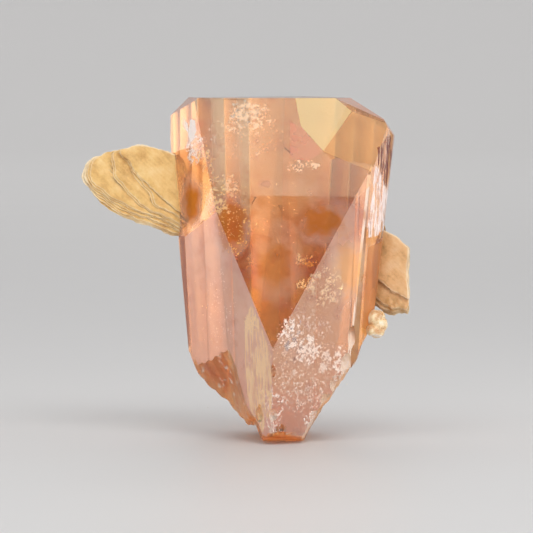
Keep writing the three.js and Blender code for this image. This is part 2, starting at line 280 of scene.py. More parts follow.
@dataclass(frozen=True)
class Signal:
    """A shader socket that can stand in a Python expression."""

    bench: "Bench"
    socket: bpy.types.NodeSocket

    def _with(self, operation: str, *others: Feed) -> "Signal":
        """The result of a Math node on this value and others."""
        return self.bench.maths(operation, self, *others)

    def __add__(self, other: Feed) -> "Signal":
        """Value plus other."""
        return self._with("ADD", other)

    def __radd__(self, other: Feed) -> "Signal":
        """Other plus value."""
        return self._with("ADD", other)

    def __sub__(self, other: Feed) -> "Signal":
        """Value minus other."""
        return self._with("SUBTRACT", other)

    def __rsub__(self, other: Feed) -> "Signal":
        """Other minus value."""
        return self.bench.maths("SUBTRACT", other, self)

    def __mul__(self, other: Feed) -> "Signal":
        """Value times other."""
        return self._with("MULTIPLY", other)

    def __rmul__(self, other: Feed) -> "Signal":
        """Other times value."""
        return self._with("MULTIPLY", other)

    def __truediv__(self, other: Feed) -> "Signal":
        """Value divided by other."""
        return self._with("DIVIDE", other)

    def clamped(self) -> "Signal":
        """The value kept between 0 and 1."""
        return self._with("MAXIMUM", 0.0)._with("MINIMUM", 1.0)

    def largest(self, other: Feed) -> "Signal":
        """The larger of the value and another."""
        return self._with("MAXIMUM", other)

    def smallest(self, other: Feed) -> "Signal":
        """The smaller of the value and another."""
        return self._with("MINIMUM", other)

    def rise(self, low: float, high: float, most: float = 1.0, kind: str = "SMOOTHSTEP") -> "Signal":
        """A smooth rise from 0 where the value is low to the most where it is high."""
        values = {"Value": self, "From Min": low, "From Max": high, "To Max": most}
        return self.bench.node("ShaderNodeMapRange", {"interpolation_type": kind}, values, "Result")

    def slope(self, start: float, end: float) -> "Signal":
        """A straight slope from 0 where the value is at the start to 1 where it is at the end."""
        return self.rise(start, end, kind="LINEAR")


class Bench:
    """One material's node tree, and the few ways in which its nodes are made."""

    def __init__(self, name: str) -> None:
        """Start a material with nothing but its output node."""
        self.material = bpy.data.materials.new(name)
        self.material.use_nodes = True
        self.tree = self.material.node_tree
        self.tree.nodes.clear()
        self.output = self.tree.nodes.new("ShaderNodeOutputMaterial")

    def feed(self, socket: bpy.types.NodeSocket, value: Feed) -> None:
        """Link a signal to a socket, or set the socket's own value."""
        if isinstance(value, Signal):
            self.tree.links.new(value.socket, socket)
        elif isinstance(value, bpy.types.NodeSocket):
            self.tree.links.new(value, socket)
        else:
            socket.default_value = value

    def node(self, kind: str, settings: dict, values: dict, output: Union[str, int] = 0) -> Signal:
        """Make a node of any kind.

        Args:
            kind: The node's type.
            settings: Its own settings, set first. The key stops holds a ramp's stops.
            values: Values or links of its sockets, by name or number.
            output: The output socket that is wanted.

        Returns:
            That output, as a signal.
        """
        made = self.tree.nodes.new(kind)
        for key, value in settings.items():
            if key == "stops":
                self._stops(made.color_ramp, value)
            else:
                setattr(made, key, value)
        for key, value in values.items():
            self.feed(made.inputs[key], value)
        return Signal(self, made.outputs[output])

    @staticmethod
    def _stops(ramp: bpy.types.ColorRamp, stops: Sequence[tuple[float, Colour]]) -> None:
        """Set a ramp's stops."""
        while len(ramp.elements) < len(stops):
            ramp.elements.new(1.0)
        for element, (place, colour) in zip(ramp.elements, stops):
            element.position = place
            element.color = (*colour, 1.0)

    def maths(self, operation: str, *values: Feed) -> Signal:
        """A Math node on up to three values."""
        return self.node("ShaderNodeMath", {"operation": operation}, dict(enumerate(values)))

    def vectors(self, operation: str, *values: Feed, output: Union[str, int] = 0) -> Signal:
        """A Vector Math node on up to three vectors."""
        options = {"operation": operation}
        return self.node("ShaderNodeVectorMath", options, dict(enumerate(values)), output)

    def blend(self, share: Feed, first: Signal, second: Signal) -> Signal:
        """A shader between two shaders."""
        return self.node("ShaderNodeMixShader", {}, {0: share, 1: first, 2: second})

    def place(self) -> Signal:
        """Where a point lies on the piece, in metres."""
        return self.node("ShaderNodeTexCoord", {}, {}, "Object")

    def part(self, vector: Feed, axis: str) -> Signal:
        """One part, X, Y or Z, of a vector."""
        return self.node("ShaderNodeSeparateXYZ", {}, {0: vector}, axis)

    def stretched(self, vector: Feed, scale: Place, turn: Place = (0.0, 0.0, 0.0)) -> Signal:
        """A vector turned by angles in degrees and then stretched along each axis."""
        angles = tuple(math.radians(angle) for angle in turn)
        values = {"Vector": vector, "Rotation": angles}
        turned = self.node("ShaderNodeVectorRotate", {"rotation_type": "EULER_XYZ"}, values)
        return self.vectors("MULTIPLY", turned, scale)

    def cloud(self, vector: Feed, grain: Grain, fold: float = 0.0) -> Signal:
        """Noise from 0 to 1, more or less folded."""
        values = {"Vector": vector, "W": grain.seed, "Scale": 1.0 / (grain.size * MM)}
        values |= {"Detail": grain.octaves, "Distortion": fold}
        return self.node("ShaderNodeTexNoise", {"noise_dimensions": "4D"}, values)

    def nearness(self, vector: Feed, centre: Place, radii: Place, core: float) -> Signal:
        """1 in the core of an ellipsoid in millimetres, falling to 0 on the ellipsoid itself."""
        scale = tuple(1 / (r * MM) for r in radii)
        shift = tuple(-c / r for c, r in zip(centre, radii))
        scaled = self.vectors("MULTIPLY_ADD", vector, scale, shift)
        return self.vectors("LENGTH", scaled, output="Value").slope(1.0, core)

    def attribute(self, name: str) -> Signal:
        """A number that the mesh carries."""
        return self.node("ShaderNodeAttribute", {"attribute_name": name}, {}, "Fac")

    def tint(self, share: Feed, low: Feed, high: Feed, blend: str = "MIX") -> Signal:
        """A colour between two colours."""
        low = (*low, 1.0) if isinstance(low, tuple) else low
        high = (*high, 1.0) if isinstance(high, tuple) else high
        settings = {"data_type": "RGBA", "blend_type": blend}
        return self.node("ShaderNodeMix", settings, {"Factor": share, 6: low, 7: high}, 2)

    def relief(self, height: Feed, distance: float, strength: float = 1.0) -> Signal:
        """A bumped normal, from a height in units of a distance in millimetres."""
        values = {"Height": height, "Strength": strength, "Distance": distance * MM}
        return self.node("ShaderNodeBump", {}, values, "Normal")

    def principled(self, values: dict) -> Signal:
        """A Principled shader."""
        return self.node("ShaderNodeBsdfPrincipled", {}, values, "BSDF")

    def finished(self, surface: Signal, volume: Union[Signal, None] = None) -> bpy.types.Material:
        """Wire the shaders to the output and give the material."""
        self.tree.links.new(surface.socket, self.output.inputs["Surface"])
        if volume:
            self.tree.links.new(volume.socket, self.output.inputs["Volume"])
        return self.material


# ---------------------------------------------------------------- finishes

# Where patches and panes fade in: a patch by its weave and its nearness, a pane by how far inside
# its edges a place lies, in millimetres, and a ragged pane by both.
PATCH_RIM = 0.95
PANE_RIM = (-0.06, 0.12)
RAGGED_RIM = (0.74, 0.92)
RAGGEDNESS = 1.6
STREAK_RISE = (0.38, 0.58)


class Weave(Enum):
    """The pattern in which frost or colour lies: how soft its rim is, and how wide its even core."""

    LACE = (0.07, 0.545)
    DUST = (0.09, 0.545)
    STREAKS = (0.20, 0.0)
    CLOUDS = (0.90, 0.0)


@dataclass(frozen=True)
class Patch:
    """A place where the topaz is etched, hazy, stained or painted with light and shade, with its centre
    and radii in millimetres.

    The strength is how closely the weave fills it, the weight how much of the clear topaz it hides,
    and on_breaks keeps it off the growth faces.
    """

    centre: Place
    radii: Place
    colour: Colour
    strength: float = 1.0
    weave: Weave = Weave.LACE
    weight: float = 0.8
    on_breaks: bool = False

    def cover(self, bench: Bench, place: Signal, weaves: dict[Weave, Signal]) -> Signal:
        """How far the patch covers a place, from 0 to 1: whole in its middle and ragged at its rim."""
        soft, core = self.weave.value
        near = bench.nearness(place, self.centre, self.radii, core)
        cover = bench.maths("MULTIPLY_ADD", near, self.strength, weaves[self.weave])
        cover = cover.rise(PATCH_RIM - soft / 2, PATCH_RIM + soft / 2)
        return cover * bench.attribute("broken") if self.on_breaks else cover


@dataclass(frozen=True)
class Pane:
    """A zone with straight edges, seen through a front face of the crystal. Some are painted light: a
    paler zone, a reflection and a highlight.

    The corners are x and z in millimetres, in clockwise order as seen from the front. The share is
    how much of the clear topaz it hides, and the weave breaks it up.
    """

    corners: tuple[Point, ...]
    colour: Colour
    share: float
    weave: Union[Weave, None] = None

    def cover(self, bench: Bench, flat: Signal, weaves: dict[Weave, Signal]) -> Signal:
        """How far the pane covers a place, from 0 to its share; flat holds x, 1 and z."""
        inside: Union[Signal, None] = None
        for (x0, z0), (x1, z1) in zip(self.corners, self.corners[1:] + self.corners[:1]):
            length = math.dist((x0, z0), (x1, z1))
            east, north = (z0 - z1) / length, (x1 - x0) / length
            rim = (-east / MM, x0 * east + z0 * north, -north / MM)
            depth = bench.vectors("DOT_PRODUCT", flat, rim, output="Value")
            inside = inside.smallest(depth) if inside else depth
        if not self.weave:
            return inside.rise(*PANE_RIM, self.share)
        weave = weaves[self.weave]
        ragged = bench.maths("MULTIPLY_ADD", weave, RAGGEDNESS, inside).rise(*RAGGED_RIM, self.share)
        return ragged * weave.rise(*STREAK_RISE)


@dataclass(frozen=True)
class Mixture:
    """A number that varies over a surface: a base, and a share of each state of the surface."""

    base: float
    shares: dict[str, float]

    def of(self, states: dict[str, Signal]) -> Signal:
        """The number where the surface has these states, kept between 0 and 1."""
        total: Feed = self.base
        for state, share in self.shares.items():
            total = states[state] * share + total
        return total.clamped()


@dataclass(frozen=True)
class TopazFinish:
    """Clear peach topaz, polished on its growth faces and frosted where it is etched or broken.

    Absorb and density colour its inside. Clear, rose and amber tint the light that goes in through
    a plain face, a pink one and one low down, and honey the light from an orange back. The sheen
    colour is a pale pink layer on the pink faces, a painted sheen that stands in for their
    reflection. The mixtures say how cloudy the stone is, and how rough where it is clear and where
    it is cloudy. Stains tint the clear stone, and some are painted shade. Patches and panes lie over
    it as haze or frost, and some are painted light and shade, painted reflections and painted
    highlights. Heights and sizes are in millimetres.
    """

    ior: float = 1.62
    absorb: Colour = (0.960, 0.80, 0.58)
    density: float = 125.0
    clear: Colour = (1.0, 0.985, 0.96)
    rose: Colour = (0.86, 0.70, 1.0)
    amber: Colour = (1.0, 0.80, 0.52)
    frost: Colour = (1.0, 0.90, 0.80)
    painted_sheen: Colour = (0.95, 0.60, 0.50)
    painted_sheen_share: float = 0.38
    honey: Colour = (1.0, 0.82, 0.56)
    cloudiness: Mixture = Mixture(
        -0.33, {"dome": 0.72, "low": 0.8, "satin": 0.5, "broken": 0.5, "haze": 0.9})
    clear_roughness: Mixture = Mixture(0.015, {"satin": 0.2, "broken": 0.1, "grain": 0.2})
    cloudy_roughness: Mixture = Mixture(0.07, {"haze": 0.06, "satin": 0.30, "broken": 0.20, "low": 0.14})
    haze: Grain = Grain(9.0, 3, 2)
    fine: Grain = Grain(0.55, 5, 4)
    zones: Grain = Grain(7.0, 2, 7)
    zone_stretch: Place = (1.0, 1.0, 0.5)
    zone_rise: Point = (0.35, 0.65)
    amber_heights: Point = (24.0, 42.0)
    amber_share: float = 0.8
    low_heights: Point = (5.0, 19.0)
    lines: Grain = Grain(0.35, 2, 9)
    line_stretch: Place = (1.0, 1.0, 0.045)
    ledges: Grain = Grain(0.8, 3, 12)
    ledge_stretch: Place = (0.12, 0.12, 1.0)
    ledge_turn: Place = (0.0, 3.0, 0.0)
    dust: Grain = Grain(0.9, 3, 21)
    dust_rise: Point = (0.56, 0.68)
    specks: Grain = Grain(0.34, 3, 31)
    clusters: Grain = Grain(1.1, 5, 32)
    cluster_fold: float = 0.8
    streaks: Grain = Grain(0.42, 4, 33)
    streak_stretch: Place = (1.0, 1.0, 0.12)
    clouds: Grain = Grain(2.4, 3, 34)
    frost_roughness: float = 0.5
    frost_shine: float = 0.12
    frost_clear: float = 0.1
    dust_share: float = 0.6
    front_from: Point = (2.0, 4.0)
    stains_and_shade: tuple[Patch, ...] = (
        # painted shade: darker at the left and right of the front dome and low in it, paler between
        Patch((-9.4, -8, 38.6), (4.6, 7, 6.2), (0.60, 0.15, 0), 1.5, Weave.CLOUDS),
        Patch((-7.4, -9.5, 34.2), (4.4, 7, 7.4), (0.60, 0.15, 0), 1.4, Weave.CLOUDS),
        Patch((-5.4, -11, 29), (3.2, 6, 6.4), (0.62, 0.18, 0), 1.2, Weave.CLOUDS),
        Patch((8.6, -9, 37.6), (9.5, 8, 7.6), (0.64, 0.20, 0), 1.5, Weave.CLOUDS),
        Patch((7.7, -6, 45.3), (7, 6, 5), (1, 0.84, 0.62), 1.3, Weave.CLOUDS),
        Patch((4.2, -12.5, 30.4), (5.6, 7, 4.6), (0.66, 0.26, 0.02), 1, Weave.CLOUDS),
        # painted shade behind the root of the left book, and a paler tint above it
        Patch((-16.5, -2.5, 41.6), (3.4, 6, 6.2), (0.44, 0.13, 0), 2, Weave.CLOUDS),
        Patch((-15.6, -2.5, 50), (5, 8, 9), (0.76, 0.58, 0.56), 1.2, Weave.CLOUDS),
        # the left bowl of the root, and the lower right edge
        Patch((-10.9, -8, 9.5), (6.5, 10, 6), (0.68, 0.26, 0.04), 1.3, Weave.CLOUDS),
        Patch((15.6, -2.5, 27.5), (3.6, 7, 9), (0.60, 0.26, 0.08), 1.4, Weave.CLOUDS),
        # the middles of the right and the left broad prism
        Patch((8, -13.5, 29.5), (6, 6, 9), (0.96, 0.80, 0.55), 1, Weave.CLOUDS),
        Patch((-13.6, -7, 31), (6, 8, 9), (0.64, 0.67, 0.78), 1.4, Weave.CLOUDS),
    )
    panes: tuple[Pane, ...] = (
        # painted light: the upper half of the front dome, paler where light comes through from behind
        Pane(((-12.5, 59.3), (18, 59.3), (19, 48), (13.5, 42.3), (-9.5, 42.5)),
             (1, 0.70, 0.47), 0.15),
        # the yellow pane below the right roof, a painted reflection of a back facet seen inside, and the
        # pink and the brown panes beside it
        Pane(((2.4, 59.3), (9.5, 59.3), (12.3, 57), (7.4, 50), (3.4, 54.4)),
             (1, 0.83, 0.43), 0.52),
        Pane(((1.5, 55.2), (3.4, 54.4), (7.2, 50), (4.8, 48.4), (1.5, 48.8)),
             (1, 0.46, 0.34), 0.34),
        Pane(((7.2, 50), (12.3, 57), (18.2, 55), (18.7, 53.6), (15.6, 46.6)),
             (1, 0.64, 0.32), 0.34),
        # three white chevrons high on the left
        Pane(((-19.3, 55.7), (-18.7, 56.1), (-18, 54), (-17.7, 51.5), (-18.4, 50.1), (-19.1, 52.2)),
             (1, 0.96, 0.94), 0.85),
        Pane(((-17.9, 55.6), (-17.3, 56.2), (-16.3, 54.7), (-16.1, 52.9), (-17.4, 54.3)),
             (1, 0.97, 0.95), 0.9),
        Pane(((-15.9, 55.5), (-15, 55.4), (-14.7, 53.4), (-15.6, 51.3), (-16.3, 52.5)),
             (1, 0.97, 0.95), 0.9),
        # the pale streaks along the keel, on the left broad prism
        Pane(((-6.3, 20.7), (-5.1, 23.9), (-1.8, 16), (-1.8, 6.4), (-3.3, 2), (-6.1, 7.2)),
             (1, 0.72, 0.42), 0.7, Weave.STREAKS),
        # painted highlight: the softbox's white reflection in streaks on the right narrow prism, and the
        # orange below it
        Pane(((16.3, 47.5), (18.7, 46.3), (18.4, 35.6), (16.4, 35.4), (14.9, 34.4)),
             (1, 0.93, 0.93), 0.78, Weave.STREAKS),
        Pane(((15, 33.5), (18.4, 34.7), (18, 23.9), (15.9, 18.6), (13.9, 19.5)),
             (0.60, 0.23, 0.07), 0.62),
        # the dark streaks below the right corner
        Pane(((16.8, 50.8), (19.1, 53.4), (19.3, 49.1), (18.3, 43.8), (17, 46.9)),
             (0.13, 0.035, 0.045), 0.92, Weave.STREAKS),
        # the dark line down the left edge
        Pane(((-17.9, 35.1), (-16.8, 35.1), (-15.9, 16), (-16.4, 14.8), (-17.3, 18.6)),
             (0.32, 0.11, 0.08), 0.75),
    )
    patches: tuple[Patch, ...] = (
        # painted light and shade in the front dome: paler high up, darker orange at its left and right
        # and low down
        Patch((-7, -5, 51.5), (8, 8, 10), (1, 0.58, 0.33), 1.2, Weave.CLOUDS, 0.24),
        Patch((1, -9, 42), (11, 9, 8.5), (0.74, 0.30, 0.09), 1.2, Weave.CLOUDS, 0.28),
        Patch((-8.6, -8.5, 37.5), (4.4, 7, 7.5), (0.50, 0.14, 0), 1.4, Weave.CLOUDS, 0.48),
        Patch((7.6, -9, 37.8), (6.4, 7, 5.4), (0.50, 0.15, 0), 1.4, Weave.CLOUDS, 0.48),
        Patch((-1, -13, 31), (6, 8, 8), (0.58, 0.21, 0.04), 1.3, Weave.CLOUDS, 0.34),
        # painted shade behind the root of the left book, and haze in the right broad prism
        Patch((-16.5, -2.5, 41.4), (3.6, 6, 6), (0.46, 0.14, 0), 1.6, Weave.CLOUDS, 0.58),
        Patch((11.4, -8.5, 30), (5, 8, 8), (1, 0.50, 0.15), 1.2, Weave.CLOUDS, 0.38),
        # frost high on the front dome
        Patch((-6.2, -3.2, 57), (5, 6, 3.6), (1, 0.96, 0.94), 0.425, Weave.LACE, 0.9),
        Patch((-6, -3.2, 56), (8, 6, 6), (1, 0.88, 0.80), 0.37),
        Patch((-6.6, -3.6, 53.6), (11, 8, 9), (1, 0.82, 0.70), 0.35, Weave.DUST, 0.6),
        # frost from the left roof down the left shoulder
        Patch((-15.9, -2, 58.2), (2.4, 5, 1.6), (1, 0.94, 0.92), 0.42),
        Patch((-16, -2.5, 50.4), (4.6, 7, 5.6), (1, 0.92, 0.88), 0.40, Weave.LACE, 0.9),
        Patch((-13.6, -4, 49.4), (3.4, 5, 4.4), (1, 0.70, 0.34), 0.37, Weave.LACE, 0.55),
        Patch((-10.6, -6, 42.4), (5.4, 6, 6.4), (1, 0.70, 0.34), 0.365, Weave.LACE, 0.55),
        Patch((-8, -9, 37), (5, 8, 9), (1, 0.56, 0.18), 0.36, Weave.DUST, 0.6),
        # frost low on the right broad prism
        Patch((1.6, -17.2, 19.2), (3.4, 7, 5), (1, 0.92, 0.86), 0.39, Weave.LACE, 0.85),
        Patch((5.2, -15.4, 16), (4.6, 8, 4.6), (1, 0.92, 0.86), 0.382, Weave.LACE, 0.85),
        Patch((9, -12, 14), (4, 7, 4), (1, 0.90, 0.82), 0.372, Weave.LACE, 0.6),
        Patch((4.6, -15.5, 12), (9, 10, 13), (1, 0.84, 0.72), 0.355, Weave.LACE, 0.42),
        Patch((5, -15.5, 14), (11, 12, 16), (1, 0.80, 0.68), 0.37, Weave.DUST, 0.55),
        # frost low on the left broad prism
        Patch((-3.6, -17, 10), (6.5, 10, 14), (1, 0.80, 0.64), 0.37, Weave.DUST, 0.55),
        Patch((-5.6, -17, 20.5), (3, 9, 4.2), (1, 0.76, 0.46), 0.375),
        Patch((-2.2, -17, 6), (4.6, 9, 7), (1, 0.84, 0.74), 0.375),
        # pale places on the broken root
        Patch((11.4, -9, 14.6), (2.6, 5, 6), (1, 0.84, 0.68), 1.5, Weave.CLOUDS, 0.7, True),
        Patch((8, -11, 8), (3.6, 5, 5.4), (1, 0.82, 0.64), 1.5, Weave.CLOUDS, 0.65, True),
        Patch((4.8, -12.5, 3), (4.4, 7, 4), (1, 0.84, 0.70), 1.5, Weave.CLOUDS, 0.6, True),
        Patch((10.4, -9.5, 12.4), (2.4, 6, 6.4), (1, 0.88, 0.78), 0.385),
        Patch((5.4, -11.5, 3.4), (3.4, 8, 4), (1, 0.88, 0.78), 0.375),
        Patch((-2.6, -16.5, 4.6), (3.4, 5, 3.4), (1, 0.82, 0.68), 1.3, Weave.CLOUDS, 0.6, True),
        # small places on the faces
        Patch((8.2, -13, 27), (6, 7, 6), (1, 0.76, 0.46), 0.36, Weave.LACE, 0.5),
        Patch((3.8, -6.5, 47.6), (5, 3, 1.9), (1, 0.86, 0.78), 0.375),
        Patch((-11.5, -8, 22), (9, 7, 14), (1, 0.86, 0.84), 0.31, Weave.DUST, 0.6),
        Patch((15.9, -3, 24.6), (1.3, 5, 3.6), (1, 0.80, 0.50), 1.1, Weave.STREAKS),
    )

    def material(self) -> bpy.types.Material:
        """Build the topaz material.

        Returns:
            A see-through material with absorption inside and frost on its surface.
        """
        bench = Bench("topaz")
        place = bench.place()
        states = {name: bench.attribute(name) for name in ("satin", "rose", "broken", "dome")}
        haze = states["haze"] = bench.cloud(place, self.haze)
        fine = bench.cloud(place, self.fine)
        states["grain"] = fine * states["broken"]
        height = bench.part(place, "Z") / MM
        states["low"] = 1.0 - height.rise(*self.low_heights)
        lines = bench.cloud(bench.stretched(place, self.line_stretch), self.lines)
        ledges = bench.cloud(bench.stretched(place, self.ledge_stretch, self.ledge_turn), self.ledges)
        grown = (lines * 0.6 + ledges * 0.4) * states["rose"]
        normal = bench.relief(grown + states["grain"] * 1.6 + haze * 0.4, distance=0.05, strength=0.35)
        weaves = self._weaves(bench, place)
        colour = self._colour(bench, place, height, weaves)
        clear = self._glass(bench, colour, self.clear_roughness.of(states), normal)
        cloudy = self._glass(bench, colour, self.cloudy_roughness.of(states), normal)
        # a pale pink layer over the pink faces: painted sheen that stands in for their reflection
        sheen = bench.principled({
            "Base Color": (*self.painted_sheen, 1.0),
            "Roughness": (0.26 + 0.2 * lines).clamped(),
            "IOR": self.ior,
            "Normal": normal,
        })
        overlay_colour, overlay_cover = self._overlay(bench, place, weaves)
        # the overlay shader: frost, and also the painted light and shade of the patches and panes
        frost = bench.principled({
            "Base Color": overlay_colour,
            "Roughness": self.frost_roughness,
            "IOR": self.ior,
            "Specular IOR Level": self.frost_shine,
            "Transmission Weight": self.frost_clear,
            "Normal": bench.relief(fine, distance=0.12, strength=0.6),
        })
        body = bench.blend(self.cloudiness.of(states), clear, cloudy)
        body = bench.blend(states["rose"] * (self.painted_sheen_share * (0.8 + 0.4 * haze)), body, sheen)
        inside = {"Color": (*self.absorb, 1.0), "Density": self.density}
        absorption = bench.node("ShaderNodeVolumeAbsorption", {}, inside)
        return bench.finished(bench.blend(overlay_cover, body, frost), absorption)

    def _colour(self, bench: Bench, place: Signal, height: Signal, weaves: dict[Weave, Signal]) -> Signal:
        """The colour that clear topaz gives to light: by its face, its height, its stains and its painted
        shade.
        """
        rose = bench.attribute("rose")
        zone = bench.cloud(bench.stretched(place, self.zone_stretch), self.zones)
        low = (1.0 - height.rise(*self.amber_heights)) * zone.rise(*self.zone_rise)
        colour = bench.tint(rose, self.clear, self.rose)
        colour = bench.tint(low * (1.0 - rose) * self.amber_share, colour, self.amber)
        colour = bench.tint(bench.attribute("amber"), colour, self.honey, "MULTIPLY")
        for stain_and_shade in self.stains_and_shade:
            colour = bench.tint(stain_and_shade.cover(bench, place, weaves), colour, stain_and_shade.colour, "MULTIPLY")
        return colour

    def _glass(self, bench: Bench, colour: Signal, roughness: Signal, normal: Signal) -> Signal:
        """Topaz that light goes straight through, more or less blurred by its roughness."""
        return bench.principled({
            "Base Color": colour,
            "Roughness": roughness,
            "IOR": self.ior,
            "Transmission Weight": 1.0,
            "Normal": normal,
        })

    def _weaves(self, bench: Bench, place: Signal) -> dict[Weave, Signal]:
        """The patterns that patches are made of, each between about 0.1 and 0.8."""
        specks = bench.cloud(place, self.specks)
        clusters = bench.cloud(place, self.clusters, self.cluster_fold)
        return {
            Weave.LACE: clusters * 0.50 + specks * 0.60,
            Weave.DUST: specks,
            Weave.STREAKS: bench.cloud(bench.stretched(place, self.streak_stretch), self.streaks),
            Weave.CLOUDS: bench.cloud(place, self.clouds),
        }

    def _overlay(
            self, bench: Bench, place: Signal, weaves: dict[Weave, Signal]) -> tuple[Signal, Signal]:
        """The overlay's colour, and where it lies: frost patches, a thin dust of frost over broken
        places, and the painted glint, painted light and painted shade of the other patches and panes.
        """
        dust = bench.cloud(place, self.dust).rise(*self.dust_rise)
        colour: Union[Signal, Colour] = self.frost
        cover = (bench.attribute("broken") * dust * self.dust_share).largest(bench.attribute("painted_glint"))
        for patch in self.patches:
            covered = patch.cover(bench, place, weaves)
            colour = bench.tint(covered, colour, patch.colour)
            cover = cover.largest(covered * patch.weight)
        axes = {"X": bench.part(place, "X"), "Y": 1.0, "Z": bench.part(place, "Z")}
        flat = bench.node("ShaderNodeCombineXYZ", {}, axes)
        front = 1.0 - (bench.part(place, "Y") / MM).rise(*self.front_from)
        for pane in self.panes:
            covered = pane.cover(bench, flat, weaves) * front
            colour = bench.tint(covered.slope(0.0, 0.125), colour, pane.colour)
            cover = cover.largest(covered)
        return colour, cover


@dataclass(frozen=True)
class MicaFinish:
    """Golden tan mica, mottled and creased, with painted highlights on its edges, painted shadows below
    its steps and a pearly shine.

    Dark, middle and light are the tones of the mottling, rim the colour of the painted highlight
    along the edges, and crack that of the painted shadow below each step. The darkening of the
    sheets further back, by their depth, is painted shade.
    """

    name: str
    dark: Colour
    middle: Colour
    light: Colour
    rim: Colour
    crack: Colour = (0.22, 0.11, 0.03)
    step_shadow_strength: float = 0.8
    mottle: Grain = Grain(2.2, 6, 1)
    fine: Grain = Grain(0.3, 6, 5)
    creases: Grain = Grain(0.5, 4, 11)
    crease_stretch: Place = (1.0, 1.0, 0.16)
    crease_turn: Place = (0.0, 45.0, 0.0)
    deep_shade: float = 0.06
    rim_highlight_strength: float = 0.7
    ior: float = 1.58

    def material(self) -> bpy.types.Material:
        """Build the mica material.

        Returns:
            The material.
        """
        bench = Bench(self.name)
        place = bench.place()
        mottle = bench.cloud(place, self.mottle)
        fine = bench.cloud(place, self.fine)
        along = bench.stretched(place, self.crease_stretch, self.crease_turn)
        creases = bench.cloud(along, self.creases)
        rim = bench.attribute("rim")
        deep = bench.attribute("deep")
        stops = [(0.34, self.dark), (0.50, self.middle), (0.64, self.light)]
        # sheets further back are darker: painted shade
        tone = mottle * 0.6 + fine * 0.18 + creases * 0.22 - deep * self.deep_shade
        colour = bench.node("ShaderNodeValToRGB", {"stops": stops}, {0: tone}, "Color")
        # painted highlight: pale rims along the book's outline and every sheet's edge, patchy by the
        # mottling
        worn = (rim * (mottle * 1.8 + 0.1)).clamped()
        colour = bench.tint(worn * self.rim_highlight_strength, colour, self.rim)
        # painted shadow at the foot of each step, broken up by the creases
        crack = bench.attribute("groove") * creases.rise(0.42, 0.62)
        colour = bench.tint(crack * self.step_shadow_strength, colour, self.crack)
        surface = bench.principled({
            "Base Color": colour,
            "Roughness": (0.36 + 0.25 * fine + 0.1 * rim).clamped(),
            "IOR": self.ior,
            "Coat Weight": (mottle.rise(0.45, 0.7) * 0.3).clamped(),
            "Coat Roughness": 0.25,
            "Subsurface Weight": 0.1,
            "Subsurface Radius": (1.0, 0.6, 0.3),
            "Subsurface Scale": 0.0006,
            "Normal": bench.relief(fine * 0.4 + creases * 0.6, distance=0.16, strength=0.65),
        })
        return bench.finished(surface)


@dataclass(frozen=True)
class AlbiteFinish:
    """Milky white to tan albite with a pearly break."""

    white: Colour = (0.93, 0.86, 0.78)
    cream: Colour = (0.92, 0.72, 0.44)
    tan: Colour = (0.66, 0.36, 0.16)
    patches: Grain = Grain(2.8, 3, 3)
    fine: Grain = Grain(0.25, 5, 6)
    ior: float = 1.53

    def material(self) -> bpy.types.Material:
        """Build the albite material.

        Returns:
            The material.
        """
        bench = Bench("albite")
        place = bench.place()
        patches = bench.cloud(place, self.patches)
        fine = bench.cloud(place, self.fine)
        stops = [(0.38, self.tan), (0.46, self.cream), (0.54, self.white)]
        tone = patches * 0.85 + fine * 0.15
        colour = bench.node("ShaderNodeValToRGB", {"stops": stops}, {0: tone}, "Color")
        surface = bench.principled({
            "Base Color": colour,
            "Roughness": (0.16 + 0.25 * fine).clamped(),
            "IOR": self.ior,
            "Subsurface Weight": 0.3,
            "Subsurface Radius": (1.0, 0.8, 0.6),
            "Subsurface Scale": 0.0008,
            "Normal": bench.relief(fine, distance=0.05, strength=0.3),
        })
        return bench.finished(surface)


@dataclass(frozen=True)
class FleckFinish:
    """Small inclusions inside the topaz, golden flecks or dark needles, in two tones; the golden ones
    glow a little in their second tone, painted light for their shine.
    """

    name: str
    colour: Colour
    second: Colour
    alpha: float
    painted_glow: float = 0.0
    tones: Grain = Grain(0.7, 3, 8)

    def material(self) -> bpy.types.Material:
        """Build the fleck material.

        Returns:
            The material.
        """
        bench = Bench(self.name)
        place = bench.place()
        tone = bench.cloud(place, self.tones)
        surface = bench.principled({
            "Base Color": bench.tint(tone.rise(0.35, 0.65), self.colour, self.second),
            "Roughness": (0.2 + 0.2 * tone).clamped(),
            # the emission is painted light: a faint glow in the second tone
            "Emission Color": (*self.second, 1.0),
            "Emission Strength": self.painted_glow,
            "Alpha": (self.alpha * tone.rise(0.2, 0.6)).clamped(),
        })
        return bench.finished(surface)


# ---------------------------------------------------------------- the topaz crystal


@dataclass(frozen=True)
class GrowthFace:
    """One flat face of the crystal and how its surface looks.

    The azimuth is counted from the front axis and the tilt above the horizontal, in degrees. The
    reach is from the crystal's centre. Satin is how matt the face is, rose how pink, in its tint and
    in its painted sheen, and amber how orange the light is that comes in through it. The last number
    is how much painted highlight, white like frost, lies on the face for a glint.
    """

    name: str
    azimuth: float
    tilt: float
    reach: float
    satin: float = 0.0
    rose: float = 0.0
    amber: float = 0.0
    painted_glint: float = 0.0

    def onto(self) -> Matrix:
        """The matrix from the face's own frame, +X out of the face, to the crystal."""
        lift = Matrix.Rotation(-math.radians(self.tilt), 4, "Y")
        turn = Matrix.Rotation(math.radians(FRONT_AZIMUTH + self.azimuth), 4, "Z")
        return Matrix.Translation(CRYSTAL_CENTRE) @ turn @ lift @ Matrix.Translation((self.reach, 0, 0))

    def normal(self) -> Vector:
        """The direction straight out of the face."""
        return self.onto().to_3x3() @ Vector((1, 0, 0))

    def point(self) -> Vector:
        """The middle of the face's plane."""
        return self.onto() @ Vector((0, 0, 0))


